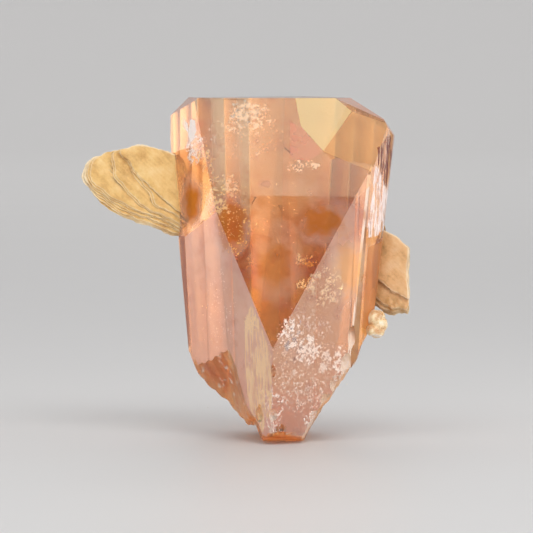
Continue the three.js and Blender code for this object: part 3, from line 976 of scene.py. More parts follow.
FRONT_DOME = GrowthFace("front dome", 0, 21.8, 11.8)
TOP = GrowthFace("top", 0, 90, 29.2, satin=0.25)
LEFT_BROAD = GrowthFace("left broad prism", -BROAD_PRISM, -2.4, 12.95, satin=0.75, rose=1.0)
RIGHT_BROAD = GrowthFace("right broad prism", BROAD_PRISM, -3.2, 14.55, satin=0.55, rose=0.52)
LEFT_SHOULDER = GrowthFace("left shoulder", -47, 4.6, 14.15, satin=0.3, rose=0.1)
LEFT_NARROW = GrowthFace("left narrow prism", -NARROW_PRISM, -3, 15.55, rose=0.6)
RIGHT_NARROW = GrowthFace("right narrow prism", NARROW_PRISM, -4.7, 15.75, rose=0.0)
BACK_LEFT_BROAD = GrowthFace(
    "back left broad prism", BACK + BROAD_PRISM, -3.5, 16.6, satin=1.0, amber=1.0)
BACK_RIGHT_BROAD = GrowthFace(
    "back right broad prism", BACK - BROAD_PRISM, -3.5, 14.8, satin=1.0, amber=1.0)

GROWTH_FACES = (
    FRONT_DOME,
    TOP,
    LEFT_BROAD,
    RIGHT_BROAD,
    LEFT_SHOULDER,
    LEFT_NARROW,
    RIGHT_NARROW,
    # the bevel carries a painted highlight, white like frost, for the glint along the edge
    GrowthFace("right edge bevel", 52.8, -3.95, 15.31, painted_glint=0.75),
    GrowthFace("left end", -END_PINACOID, -6, 17.65, satin=0.4, rose=0.5),
    GrowthFace("right end", END_PINACOID, -5.9, 17.25, satin=0.2, rose=0.5),
    GrowthFace("right roof", 66.3, 65.6, 30.45, rose=0.8),
    GrowthFace("left roof", -72, 50.8, 31.55, rose=0.6),
    GrowthFace("right back roof", 118, 43.4, 28.85, satin=0.3, amber=0.7),
    GrowthFace("right corner", END_PINACOID, 28.8, 28.3, rose=0.6),
    BACK_LEFT_BROAD,
    BACK_RIGHT_BROAD,
    GrowthFace("back left narrow prism", BACK + NARROW_PRISM, -4, 17.7, satin=0.8, amber=0.8),
    GrowthFace("back right narrow prism", BACK - NARROW_PRISM, -8, 15.1, satin=0.8, amber=0.8),
)


@dataclass(frozen=True)
class BrokenRoot:
    """The break below the crystal: a keel that climbs to the front, to the back and to the left bowl.

    The keel is given as points of x and z. Ripples run round their centre in the bowl, hackles and
    terraces roughen the rest, and the break is a slab of the given width, depth and cell.
    """

    keel: tuple[Point, ...] = (
        (-22, 22.5), (-16, 14.7), (-14.5, 11.1), (-12.2, 8.5), (-9.2, 6.1), (-7.5, 4.1), (-5.8, 2.4),
        (-4.3, 2.3), (-3.2, -0.6), (3.8, -0.6), (4.6, 1.1), (5.7, 2.8), (7.1, 5.4), (8.4, 6.8),
        (9.3, 8.3), (11.4, 11.3), (13.1, 13), (13.9, 16.2), (16, 20.4), (22, 32),
    )
    keel_front: float = -5.0
    keel_back: float = 9.5
    back_climb: float = 0.95
    front_climb: float = 0.22
    bowl_climb: float = 0.95
    bowl_start: float = -4.2
    bowl_end: float = -9.5
    ripple_height: float = 0.16
    ripple_length: float = 1.9
    ripple_centre: Point = (-17, 3)
    hackle_height: float = 0.85
    hackle_size: float = 2.1
    width: float = 44.0
    depth: float = 52.0
    cell: float = 0.4
    below: float = 12.0
    fine_ripple: float = 0.05
    fine_length: float = 0.74
    fine_hackle: float = 0.22
    fine: Grain = Grain(0.9, 4, 4)
    bowl_calm: float = 0.7
    rough_heights: Point = (-0.2, 2.5)
    terrace: float = 1.15
    terrace_shake: float = 0.25
    terrace_edges: Grain = Grain(3.0, 2, 9)
    terrace_zones: Grain = Grain(5.0, 2, 2)
    terrace_rise: Point = (-0.1, 0.25)
    terrace_share: float = 0.55

    def height(self, x: float, y: float) -> float:
        """How far the break stands above the foot at one place."""
        in_bowl = 1.0 - smoothstep(x, self.bowl_end, self.bowl_start)
        climb = self.front_climb + self.bowl_climb * in_bowl
        front = climb * max(0.0, self.keel_front * (1.0 - in_bowl) - y)
        back = self.back_climb * max(0.0, y - self.keel_back)
        smooth = height_on(self.keel, x) + front + back
        out = math.hypot(x - self.ripple_centre[0], y - self.ripple_centre[1])
        ripple = self.ripple_height * math.sin(out * 2 * math.pi / self.ripple_length)
        ripple += self.fine_ripple * math.sin(out * 2 * math.pi / self.fine_length)
        hackle = soft_noise(x / self.hackle_size, y / self.hackle_size)
        hackle = hackle + 0.5 * soft_noise(x + 31, y + 17) - 0.4
        hackle += self.fine_hackle * self.fine.at(x, y)
        rough = smoothstep(smooth, *self.rough_heights)
        torn = self.hackle_height * hackle * (1.0 - self.bowl_calm * in_bowl)
        broken = smooth + rough * (ripple * in_bowl + torn)
        shake = self.terrace_shake * self.terrace_edges.at(x, y)
        step = self.terrace * (round(broken / self.terrace) + shake)
        stepped = smoothstep(self.terrace_zones.at(x, y), *self.terrace_rise) * (1.0 - in_bowl) * rough
        return mix(broken, step, self.terrace_share * stepped)

    def cutter(self) -> bpy.types.Object:
        """Everything below the break, as one solid."""
        low, high = (-self.width / 2, -self.depth / 2), (self.width / 2, self.depth / 2)
        return Workshop.slab("below_break", low, high, self.cell, self.height, -self.below)


@dataclass(frozen=True)
class EtchedPatch:
    """A patch of natural etching sunk into one growth face.

    Across and up give the patch on the face, stretch how much longer its pits are than wide, and
    depth how deep the deepest are.
    """

    face: GrowthFace
    across: Point
    up: Point
    depth: float
    pits: Grain
    stretch: float
    cell: float = 0.2

    def relief(self, across: float, up: float) -> float:
        """How far the cutter's inner side lies outside the face: below 0 it cuts."""
        u = (across - self.across[0]) / (self.across[1] - self.across[0])
        v = (up - self.up[0]) / (self.up[1] - self.up[0])
        edge = 1.0 - smoothstep(math.hypot(2 * u - 1, 2 * v - 1), 0.35, 1.0)
        rough = self.pits.at(across, up / self.stretch)
        return 0.08 - self.depth * (edge + rough * 0.9 - 0.55 + 0.4 * (edge - 1.0))

    def cutter(self) -> bpy.types.Object:
        """The solid that etches the patch."""
        top = lambda across, up: max(-self.depth, self.relief(across, up))
        low, high = (self.across[0], self.up[0]), (self.across[1], self.up[1])
        slab = Workshop.slab("etching", low, high, self.cell, lambda a, b: -top(a, b), -3.0)
        flip = Matrix(((0, 0, -1, 0), (1, 0, 0, 0), (0, 1, 0, 0), (0, 0, 0, 1)))
        slab.data.transform(self.face.onto() @ flip)
        return slab


@dataclass
class TopazCrystal:
    """The topaz: its flat faces, ledge, growth lines, etching, chips and broken root.

    The ledge's outline is given on its own sloping floor, from the hinge where it starts, and each
    growth line by its place across its face. A chip has its middle and its radii, and nicks lie in
    a row from one place to another. A facet belongs to a face when it faces the same way and lies
    close enough to its plane.
    """

    finish: TopazFinish
    root: BrokenRoot = field(default_factory=BrokenRoot)
    block: float = 70.0
    ledge_hinge: Place = (7.07, -5.76, 49.97)
    ledge_slope: float = 4.2
    ledge_height: float = 6.0
    ledge_azimuth: float = 23.1
    ledge_outline: tuple[Point, ...] = (
        (11.5, 0), (9, 0), (0, 0), (-0.1, 0.9), (-0.5, 2), (-0.1, 2.7), (0.4, 3.7), (0.35, 4.8),
        (0.8, 5.8), (0.9, 6.6), (1.3, 7.6), (1.5, 9.2), (1.9, 14), (14, 14),
    )
    ledge_torn: Point = (3.0, 9.2)
    ledge_step: float = 0.35
    ledge_shake: float = 0.12
    ledge_grain: Grain = Grain(0.5, 2, 6)
    line_depth: float = 0.07
    line_width: float = 0.5
    line_lean: float = 1.6
    lines: tuple[tuple[GrowthFace, tuple[float, ...]], ...] = (
        (LEFT_BROAD, (-4.9, 2.6)),
        (RIGHT_BROAD, (-2.7, 4.8, 5.7)),
        (BACK_LEFT_BROAD, (-7, -1.8, 4.4)),
        (BACK_RIGHT_BROAD, (-6.2, -1.1, 3.9)),
    )
    chips: tuple[tuple[Place, Place], ...] = (
        ((12.8, -8.7, 17.8), (1.3, 1.1, 2.9)),
        ((11.4, -9, 13.3), (1.3, 1.4, 2.1)),
        ((9.7, -9.9, 10), (1.5, 1.4, 1.6)),
        ((7.9, -10.9, 7.1), (1.3, 1.6, 1.5)),
        ((5.9, -12.1, 4.3), (1.2, 1.4, 1.4)),
        ((-1.4, -18.2, 12.7), (0.7, 1, 1.4)),
        ((-1.6, -17.6, 5.2), (1.3, 1.4, 1.2)),
        ((-3.9, -14.6, 5.2), (0.9, 1.2, 1.6)),
        ((15.6, -8.6, 46.4), (0.7, 0.8, 0.6)),
    )
    chip_lumps: float = 1.7
    chip_roughness: float = 0.16
    chip_rings: float = 16.0
    chip_ripple: float = 0.012
    nicks: tuple[tuple[Place, Place, int], ...] = (
        ((-2.6, -19.9, 17), (-2.6, -19, 8), 7),
        ((12.2, -10.6, 36), (11.6, -9.4, 20), 5),
        ((-17, -6.4, 46), (-15.6, -6.6, 18), 4),
        ((-3.4, -17, 2.9), (5.4, -14.6, 2.6), 9),
    )
    nick_sizes: Point = (0.25, 0.35)
    nick_length: float = 1.5
    facing_on: float = 0.9995
    facing_near: float = 0.93
    away_on: float = 0.02
    sharp_from: float = 28.0
    etchings: tuple[EtchedPatch, ...] = (
        EtchedPatch(FRONT_DOME, (-12, -1), (19, 29), 0.12, Grain(0.7, 3, 1), 1.0),
        EtchedPatch(LEFT_SHOULDER, (0.5, 9), (12, 28), 0.3, Grain(0.9, 3, 2), 3.2),
        EtchedPatch(RIGHT_BROAD, (-12, -2), (-20, -4), 0.12, Grain(0.9, 3, 3), 1.3),
    )

    def grown(self) -> bpy.types.Object:
        """The whole crystal as its flat faces bound it, before anything broke."""
        shape = bmesh.new()
        bmesh.ops.create_cube(shape, size=self.block)
        bmesh.ops.translate(shape, verts=shape.verts, vec=CRYSTAL_CENTRE)
        for face in GROWTH_FACES:
            everything = shape.verts[:] + shape.edges[:] + shape.faces[:]
            cut = bmesh.ops.bisect_plane(
                shape, geom=everything, plane_co=face.point(), plane_no=face.normal(), clear_outer=True)
            rim = [part for part in cut["geom_cut"] if isinstance(part, bmesh.types.BMEdge)]
            if rim:
                bmesh.ops.holes_fill(shape, edges=rim)
        return Workshop.from_bmesh("topaz_body", shape)

    def ledge(self) -> bpy.types.Object:
        """The air over the growth ledge high on the right of the front dome."""
        corners: list[Point] = []
        outline = self.ledge_outline
        for (a0, b0), (a1, b1) in zip(outline, outline[1:] + outline[:1]):
            torn = max(b0, b1) <= self.ledge_torn[1] and a0 < self.ledge_torn[0]
            steps = max(1, round(math.dist((a0, b0), (a1, b1)) / self.ledge_step)) if torn else 1
            for step in range(steps):
                along, away = mix(a0, a1, step / steps), mix(b0, b1, step / steps)
                shake = self.ledge_shake if step else 0.0
                corners.append((away, along + shake * self.ledge_grain.at(away, along)))
        count = len(corners)
        points = [Vector((x, y, z)) for z in (0, self.ledge_height) for x, y in corners]
        faces = [tuple(range(count - 1, -1, -1)), tuple(range(count, 2 * count))]
        faces += [(i, (i + 1) % count, count + (i + 1) % count, count + i) for i in range(count)]
        shape = bmesh.new()
        made = [shape.verts.new(point) for point in points]
        for face in faces:
            shape.faces.new([made[i] for i in face])
        bmesh.ops.triangulate(shape, faces=shape.faces)
        slab = Workshop.from_bmesh("ledge_air", shape)
        slab.data.transform(self.ledge_onto())
        return slab

    def growth_line(self, face: GrowthFace, place: float, index: int) -> bpy.types.Object:
        """A long bar, square on edge, that scores one growth line down a prism face."""
        deep, wide, tall = self.line_depth, self.line_width / 2, self.block / 2
        ring = [(deep, 0), (0, wide), (-deep, 0), (0, -wide)]
        corners = [Vector((x, y, z)) for z in (-tall, tall) for x, y in ring]
        sides = [(i, (i + 1) % 4, 4 + (i + 1) % 4, 4 + i) for i in range(4)]
        bar = Workshop.solid("growth_line", corners, [(3, 2, 1, 0), (4, 5, 6, 7), *sides])
        lean = Matrix.Rotation(math.radians((scatter(index, 5) - 0.5) * self.line_lean), 4, "X")
        bar.data.transform(face.onto() @ Matrix.Translation((0, place, 0)) @ lean)
        return bar

    def chip(self, at: Place, radii: Place, index: int) -> bpy.types.Object:
        """The scoop that one chip takes out of an edge, with ripples like broken glass."""
        shape = bmesh.new()
        bmesh.ops.create_icosphere(shape, subdivisions=4, radius=1.0)
        for corner in shape.verts:
            way = corner.co.normalized()
            rough = noise.fractal(way * self.chip_lumps + Vector((index * 3.1, 0, 0)), 1.0, 2.0, 3)
            ring = math.sin((way.x + 0.6 * way.z) * self.chip_rings + index)
            size = 0.97 + self.chip_roughness * rough + self.chip_ripple * ring
            corner.co = Vector((way.x * radii[0], way.y * radii[1], way.z * radii[2])) * size
            corner.co += Vector(at)
        return Workshop.from_bmesh("chip", shape)

    def small_chips(self) -> list[bpy.types.Object]:
        """Nicks along the sharp edges of the front and the back."""
        made: list[bpy.types.Object] = []
        least, more = self.nick_sizes
        for row, (start, end, count) in enumerate(self.nicks):
            for i in range(count):
                at = Vector(start).lerp(Vector(end), (i + 0.3 + 0.4 * scatter(i, row)) / count)
                size = least + more * scatter(row + 9, i)
                radii = (size, size, size * self.nick_length)
                made.append(self.chip(tuple(at), radii, 20 + 10 * row + i))
        return made

    def foot_air(self) -> bpy.types.Object:
        """Everything below the flat foot."""
        far = self.block
        return Workshop.slab("below_foot", (-far, -far), (far, far), far, lambda x, y: 0.0, -far)

    def ledge_onto(self) -> Matrix:
        """The matrix from the ledge's own floor to the crystal."""
        slope = Matrix.Rotation(math.radians(self.ledge_slope), 4, "Y")
        swing = Matrix.Rotation(-math.radians(self.ledge_azimuth + self.ledge_slope * 0.4), 4, "Z")
        lean = Matrix.Rotation(math.radians(90 - FRONT_DOME.tilt), 4, "X")
        turn = Matrix.Rotation(math.radians(FRONT_AZIMUTH + 90), 4, "Z")
        return Matrix.Translation(self.ledge_hinge) @ turn @ lean @ swing @ slope

    def mark(self, piece: bpy.types.Object) -> None:
        """Note how each facet's surface looks, by the face it lies on, and smooth the broken ones."""
        mesh = piece.data
        looks = ("satin", "rose", "amber", "painted_glint")
        states = {name: [] for name in (*looks, "broken", "dome")}
        planes = [(face, face.normal(), face.point()) for face in GROWTH_FACES]
        floor_way = self.ledge_onto().to_3x3() @ Vector((0, 0, 1))
        planes.append((FRONT_DOME, floor_way, Vector(self.ledge_hinge)))
        for facet in mesh.polygons:
            home = None
            for face, normal, point in planes:
                facing = facet.normal.dot(normal)
                away = abs((facet.center - point).dot(normal))
                if facing > self.facing_on and away < self.away_on:
                    home = face
                    break
                if facing > self.facing_near and away < self.line_depth + self.away_on:
                    home = face
            for name in looks:
                states[name].append(getattr(home, name) if home else 0.0)
            states["broken"].append(0.0 if home else 1.0)
            states["dome"].append(1.0 if home is FRONT_DOME else 0.0)
            facet.use_smooth = home is None
        for name, values in states.items():
            layer = mesh.attributes.new(name, "FLOAT", "FACE")
            layer.data.foreach_set("value", values)
        mesh.set_sharp_from_angle(angle=math.radians(self.sharp_from))

    def build(self, sockets: Sequence[bpy.types.Object]) -> bpy.types.Object:
        """Cut the crystal out and dress it.

        Args:
            sockets: Solids of everything that grew into the crystal, a hair larger than it.

        Returns:
            The finished crystal.
        """
        crystal = self.grown()
        Workshop.boolean(crystal, [self.root.cutter(), self.foot_air()], "DIFFERENCE")
        bars = []
        for face, places in self.lines:
            bars.extend(self.growth_line(face, place, i) for i, place in enumerate(places))
        Workshop.boolean(crystal, [*bars, self.ledge()], "DIFFERENCE")
        Workshop.boolean(crystal, [patch.cutter() for patch in self.etchings], "DIFFERENCE")
        chips = [self.chip(at, radii, i) for i, (at, radii) in enumerate(self.chips)]
        Workshop.boolean(crystal, [*chips, *self.small_chips()], "DIFFERENCE")
        Workshop.boolean(crystal, sockets, "DIFFERENCE")
        self.mark(crystal)
        Workshop.finish(crystal, Slot.TOPAZ, self.finish.material(), "topaz_crystal")
        return crystal


# ---------------------------------------------------------------- mica books


@dataclass
class MicaBook:
    """A stack of thin mica sheets, front sheet first, that grew out of the crystal's side.

    The arc is the edge that all sheets share. The other edge of a sheet lies between the full
    outline (spread 0) and the innermost ledge (spread 1), and each sheet has its spread where that
    edge starts and where it ends. The sheets are free to buckle where x lies past both free limits.
    """

    name: str
    node: str
    finish: MicaFinish
    place: Place
    tilt: float
    turn: float
    sheet: float
    sheets: tuple[Point, ...]
    free: Point
    arc: tuple[Point, ...]
    full: tuple[Point, ...]
    ledge: tuple[Point, ...]
    splits: int = 2
    steps: int = 200
    fray: float = 0.4
    waver: float = 0.10
    wavers: Grain = Grain(1.0, 2)
    worn_places: Grain = Grain(2.6, 2)
    dents: Grain = Grain(3.2, 3)
    crinkles: Grain = Grain(0.7, 3)
    crinkle_stretch: Point = (0.22, 0.9)
    bends: Grain = Grain(1.9, 1)
    bend_stretch: float = 0.16
    lump_places: Grain = Grain(0.8, 2, 2)
    frays: Grain = Grain(1.8, 2)
    fine_frays: Grain = Grain(0.5, 3)
    shown_rings: tuple[float, ...] = (
        0, 0.03, 0.08, 0.15, 0.24, 0.34, 0.45, 0.56, 0.67, 0.77, 0.86, 0.94, 1.0,
        1.08, 1.18, 1.3, 1.42, 1.54, 1.66, 1.78, 1.9, 2.0,
    )
    hidden_rings: tuple[float, ...] = (0, 0.5, 1.0, 1.2, 1.4, 1.6, 1.8, 2.0)
    bend: float = 0.16
    lumps: tuple[tuple[float, float, float, float], ...] = ()
    seed: float = 0.0
    split_step: float = 0.04
    socket_gap: float = 0.06
    socket_lap: float = 0.02
    socket_steps: int = 60
    edge_wear: float = 0.6
    swell_share: float = 0.6
    hidden_gap: float = 0.12
    overlap: float = 0.04
    last_thickness: float = 0.9
    rim_width: float = 0.45
    tip_width: float = 1.2
    tip: Point = (12.0, 16.0)
    edge_painted_highlight: float = 0.6
    edge_width: float = 0.22
    least_ring: float = 0.3
    ring_reach: float = 0.96
    sharp_from: float = 38.0

    def outline(self, group: int, steps: int) -> list[Vector]:
        """The smooth outline of one coarse sheet.

        Args:
            group: The sheet's number, from the front.
            steps: The number of points.

        Returns:
            The points, in order.
        """
        return closed_curve([Vector((x, y, 0)) for x, y in self.arc] + self.edge(group, 0.0, 0.0), steps)

    def edge(self, group: int, inward: float, waver: float) -> list[Vector]:
        """The corners of a sheet's ledge side, set inward by a spread and wavering by another."""
        made = []
        last = len(self.full) - 1
        for k, ((x, y), (ledge_x, ledge_y)) in enumerate(zip(self.full, self.ledge)):
            spread = mix(*self.sheets[group], smoothstep(k / last, 0.25, 0.8)) + inward
            if 0 < k < last:
                spread += waver * self.wavers.at(k * 1.3, group * 0.23, self.seed) * (0.3 + spread)
            spread = min(1.0, max(0.0, spread))
            made.append(Vector((mix(x, ledge_x, spread), mix(y, ledge_y, spread), 0)))
        return made

    def onto(self) -> Matrix:
        """The matrix from the sheet's own plane, X and Y in it and Z towards the front, to its place."""
        upright = Matrix.Rotation(math.radians(90), 4, "X")
        lean = Matrix.Rotation(math.radians(self.tilt), 4, "X")
        swing = Matrix.Rotation(math.radians(self.turn), 4, "Z")
        return Matrix.Translation(self.place) @ swing @ lean @ upright

    def front_of(self, index: int) -> float:
        """How far the front of one coarse sheet lies in front of the middle of the book."""
        return -(index - len(self.sheets) / 2) * self.sheet

    def socket(self) -> bpy.types.Object:
        """The solid of the whole book, a hair larger than the book."""
        whole = None
        for index in range(len(self.sheets)):
            rim = pushed(self.outline(index, self.socket_steps), self.socket_gap)
            front = self.front_of(index) + self.socket_gap
            back = self.front_of(index + 1) - self.socket_gap - self.socket_lap
            part = plate("socket", rim, back, front)
            if whole:
                Workshop.boolean(whole, [part], "UNION")
            else:
                whole = part
        whole.data.transform(self.onto())
        return whole

    def build(self) -> bpy.types.Object:
        """Stack the fine sheets and dress them.

        Returns:
            The finished book.
        """
        shape = bmesh.new()
        layers = {name: shape.verts.layers.float.new(name) for name in ("rim", "deep", "groove")}
        rims = [self.rim_of(index) for index in range(self.count())]
        full = closed_curve([Vector((x, y, 0)) for x, y in self.arc + self.full], self.steps)
        for index, rim in enumerate(rims):
            above = rims[index - 1] if index else None
            below = rims[index + 1] if index + 1 < len(rims) else None
            self.add_sheet(shape, layers, index, (full, above, rim, below))
        book = Workshop.from_bmesh(self.name, shape)
        Workshop.smooth(book, self.sharp_from)
        book.data.transform(self.onto())
        Workshop.finish(book, Slot.MICA, self.finish.material(), self.node)
        return book

    def count(self) -> int:
        """The number of fine sheets."""
        return len(self.sheets) * self.splits

    def rim_of(self, index: int) -> list[Vector]:
        """The frayed edge of one fine sheet."""
        group, split = divmod(index, self.splits)
        inward = self.split_step * (self.splits - 1 - split)
        arc = [Vector((x, y, 0)) for x, y in self.arc]
        rim = closed_curve(arc + self.edge(group, inward, self.waver), self.steps)
        return pushed(rim, 0.0, lambda i: -self.fray * self.fraying(rim[i], group + 0.3 * index))

    def add_sheet(self, shape: bmesh.types.BMesh, layers: dict, index: int, lines: tuple) -> None:
        """Add one fine sheet with worn edges and low swells over the parts of its faces that show.

        Args:
            shape: The bmesh that the sheet is added to.
            layers: The layers that say how much painted highlight a corner gets along the book's rim
            and every edge, how deep its sheet lies, and how near it is to the foot of the step above it,
            where shadow is painted.
            index: The sheet's number, from the front.
            lines: The book's full outline and the edges of the sheet in front of this one, of this
                sheet and of the sheet behind it. The book's first and last sheets have no neighbour.
        """
        full, above, rim, below = lines
        thick = self.sheet / self.splits
        front = self.front_of(0) - index * thick
        middle = sum(rim, Vector()) / len(rim)
        edges = {}
        for side, neighbour in ((1, above), (-1, below)):
            rows = []
            for share in self.shown_rings if side > 0 or neighbour is None else self.hidden_rings:
                row = []
                for i, point in enumerate(rim):
                    place = self.ring_place(point, middle, neighbour[i] if neighbour else None, share)
                    depth, inset = (place - point).length, (place - full[i]).length
                    if side > 0:
                        hidden = smoothstep(share, 1.0, 1.2) if neighbour else 0.0
                        sunk = self.face_sunk(place, depth, index) + self.hidden_gap * hidden
                    elif neighbour:
                        sunk = 1.0 + self.overlap + self.swell_share * self.swell(place, index + 1)
                    else:
                        sunk = self.last_thickness
                    made = shape.verts.new((place.x, place.y, front - thick * sunk + self.buckle(place)))
                    # the rim layer holds how much highlight is painted here, the groove layer where
                    # shadow is painted below a step
                    made[layers["rim"]] = self.painted_highlight(place, depth, inset)
                    made[layers["deep"]] = index / (self.count() - 1)
                    made[layers["groove"]] = smoothstep(share, 0.8, 1.0) if neighbour else 0.0
                    row.append(made)
                rows.append(row)
            for outer, inner in zip(rows, rows[1:]):
                self.band(shape, outer, inner)
            shape.faces.new(rows[-1])
            edges[side] = rows[0]
        self.band(shape, edges[-1], edges[1])

    def painted_highlight(self, place: Vector, depth: float, outer: float) -> float:
        """How much painted highlight the mica gets: broadly at the outer tip, thinly along the book's rim
        and every edge.
        """
        reach = mix(self.rim_width, self.tip_width, smoothstep(-place.x, *self.tip))
        along_rim = 1.0 - smoothstep(outer / reach, 0.3, 1.0)
        return max(along_rim, self.edge_painted_highlight * (1.0 - depth / self.edge_width))

    def face_sunk(self, place: Vector, depth: float, index: int) -> float:
        """How far a sheet's front lies in, in sheets: worn away at its edge, swelling further in."""
        worn = 1.0 - smoothstep(depth, 0.0, 0.15 + 1.5 * self.wear(place, index) ** 2)
        worn *= self.edge_wear
        return worn + (1.0 - worn) * self.swell_share * self.swell(place, index)

    def ring_place(
            self, point: Vector, middle: Vector, neighbour: Union[Vector, None], share: float) -> Vector:
        """One corner of one ring of a sheet's face.

        Args:
            point: The sheet's edge there.
            middle: The middle of the sheet.
            neighbour: The edge of the sheet that lies on this face there, if one does.
            share: 0 on the sheet's edge, 1 at the neighbour's edge, 2 close to the middle.
        """
        inward = middle - point
        if neighbour is None:
            return point.lerp(middle, share * self.ring_reach / 2)
        target = neighbour
        if (target - point).length < self.least_ring or (target - middle).length > inward.length:
            target = point + inward.normalized() * self.least_ring
        if share <= 1.0:
            return point.lerp(target, share)
        return target.lerp(middle, (share - 1.0) * self.ring_reach)

    def wear(self, place: Vector, index: int) -> float:
        """How worn a sheet's edge is at one place, from 0, a sharp step, to 1, a long slope."""
        worn = self.worn_places.at(place.x, place.y, self.seed + index * 0.31)
        return min(1.0, max(0.0, 0.5 + 0.9 * worn))

    def swell(self, place: Vector, index: int) -> float:
        """How far a sheet's face lies in at one place, from 0 to 1: broad dents and fine crinkles."""
        along = (place.x - place.y) * self.crinkle_stretch[0]
        across = (place.x + place.y) * self.crinkle_stretch[1]
        broad = 0.5 + 0.5 * self.dents.at(place.x, place.y, self.seed + index * 0.21)
        crinkle = 0.5 + 0.6 * self.crinkles.at(along, across, self.seed + 7.0 + index * 0.4)
        return min(1.0, max(0.0, 0.5 * broad + 0.5 * crinkle))

    def buckle(self, place: Vector) -> float:
        """How far the whole stack bends to the front at one place, where it stands free."""
        loose = smoothstep(place.x, *self.free)
        along = (place.x - place.y) * self.bend_stretch
        across = place.x + place.y
        bend = self.bend * self.bends.at(along, across, self.seed + 3.0)
        for x, y, radius, height in self.lumps:
            near = 1.0 - smoothstep(math.hypot(place.x - x, place.y - y) / radius, 0.3, 1.0)
            bend += height * near * (0.8 + 0.5 * self.lump_places.at(place.x, place.y))
        return bend * loose

    @staticmethod
    def band(shape: bmesh.types.BMesh, outer: list, inner: list) -> None:
        """Join two rings of corners with quads."""
        count = len(outer)
        for i in range(count):
            j = (i + 1) % count
            shape.faces.new((outer[i], outer[j], inner[j], inner[i]))

    def fraying(self, point: Vector, index: int) -> float:
        """How far an edge is worn back at one point, from 0 to 1."""
        coarse = 0.45 + 0.6 * self.frays.at(point.x, point.y, self.seed + index * 0.35)
        fine = 0.25 * self.fine_frays.at(point.x, point.y, self.seed + index * 1.7)
        return min(1.0, max(0.0, coarse + fine))


def closed_curve(corners: Sequence[Vector], steps: int) -> list[Vector]:
    """Points spaced evenly in parameter along a smooth closed curve through the corners.

    Args:
        corners: The corners that the curve passes through.
        steps: The number of points.

    Returns:
        The points, in order.
    """
    count = len(corners)
    points = []
    for step in range(steps):
        place = step / steps * count
        index = int(place) % count
        p0, p1, p2, p3 = (corners[(index + k - 1) % count] for k in range(4))
        points.append(centripetal(p0, p1, p2, p3, place - int(place)))
    return points


def centripetal(p0: Vector, p1: Vector, p2: Vector, p3: Vector, share: float) -> Vector:
    """A point on the centripetal Catmull-Rom curve from p1 to p2."""
    t01, t12, t23 = (math.sqrt((b - a).length) for a, b in ((p0, p1), (p1, p2), (p2, p3)))
    m1 = (p2 - p1) + t12 * ((p1 - p0) / t01 - (p2 - p0) / (t01 + t12))
    m2 = (p2 - p1) + t12 * ((p3 - p2) / t23 - (p3 - p1) / (t12 + t23))
    a = 2 * (p1 - p2) + m1 + m2
    b = -3 * (p1 - p2) - 2 * m1 - m2
    return a * share ** 3 + b * share ** 2 + m1 * share + p1


def pushed(
        line: Sequence[Vector], out: float,
        extra: Union[Callable[[int], float], None] = None) -> list[Vector]:
    """Push a closed flat line out of its own inside.

    Args:
        line: The points of the line.
        out: How far all points move, inwards where it is below 0.
        extra: How much further one point moves, by its number.

    Returns:
        The moved points.
    """
    count = len(line)
    area = sum(a.x * b.y - b.x * a.y for a, b in zip(line, [*line[1:], line[0]]))
    side = 1.0 if area > 0 else -1.0
    moved = []
    for i, point in enumerate(line):
        along = (line[(i + 1) % count] - line[i - 1]).normalized()
        amount = out + (extra(i) if extra else 0.0)
        moved.append(point + Vector((along.y, -along.x, 0)) * side * amount)
    return moved


def plate(name: str, rim: Sequence[Vector], back: float, front: float) -> bpy.types.Object:
    """A flat plate with a given rim, between two heights."""
    shape = bmesh.new()
    low = [shape.verts.new((point.x, point.y, back)) for point in rim]
    high = [shape.verts.new((point.x, point.y, front)) for point in rim]
    MicaBook.band(shape, low, high)
    shape.faces.new(high)
    shape.faces.new(list(reversed(low)))
    bmesh.ops.triangulate(shape, faces=[face for face in shape.faces if len(face.verts) > 4])
    return Workshop.from_bmesh(name, shape)


# ---------------------------------------------------------------- albite and inclusions


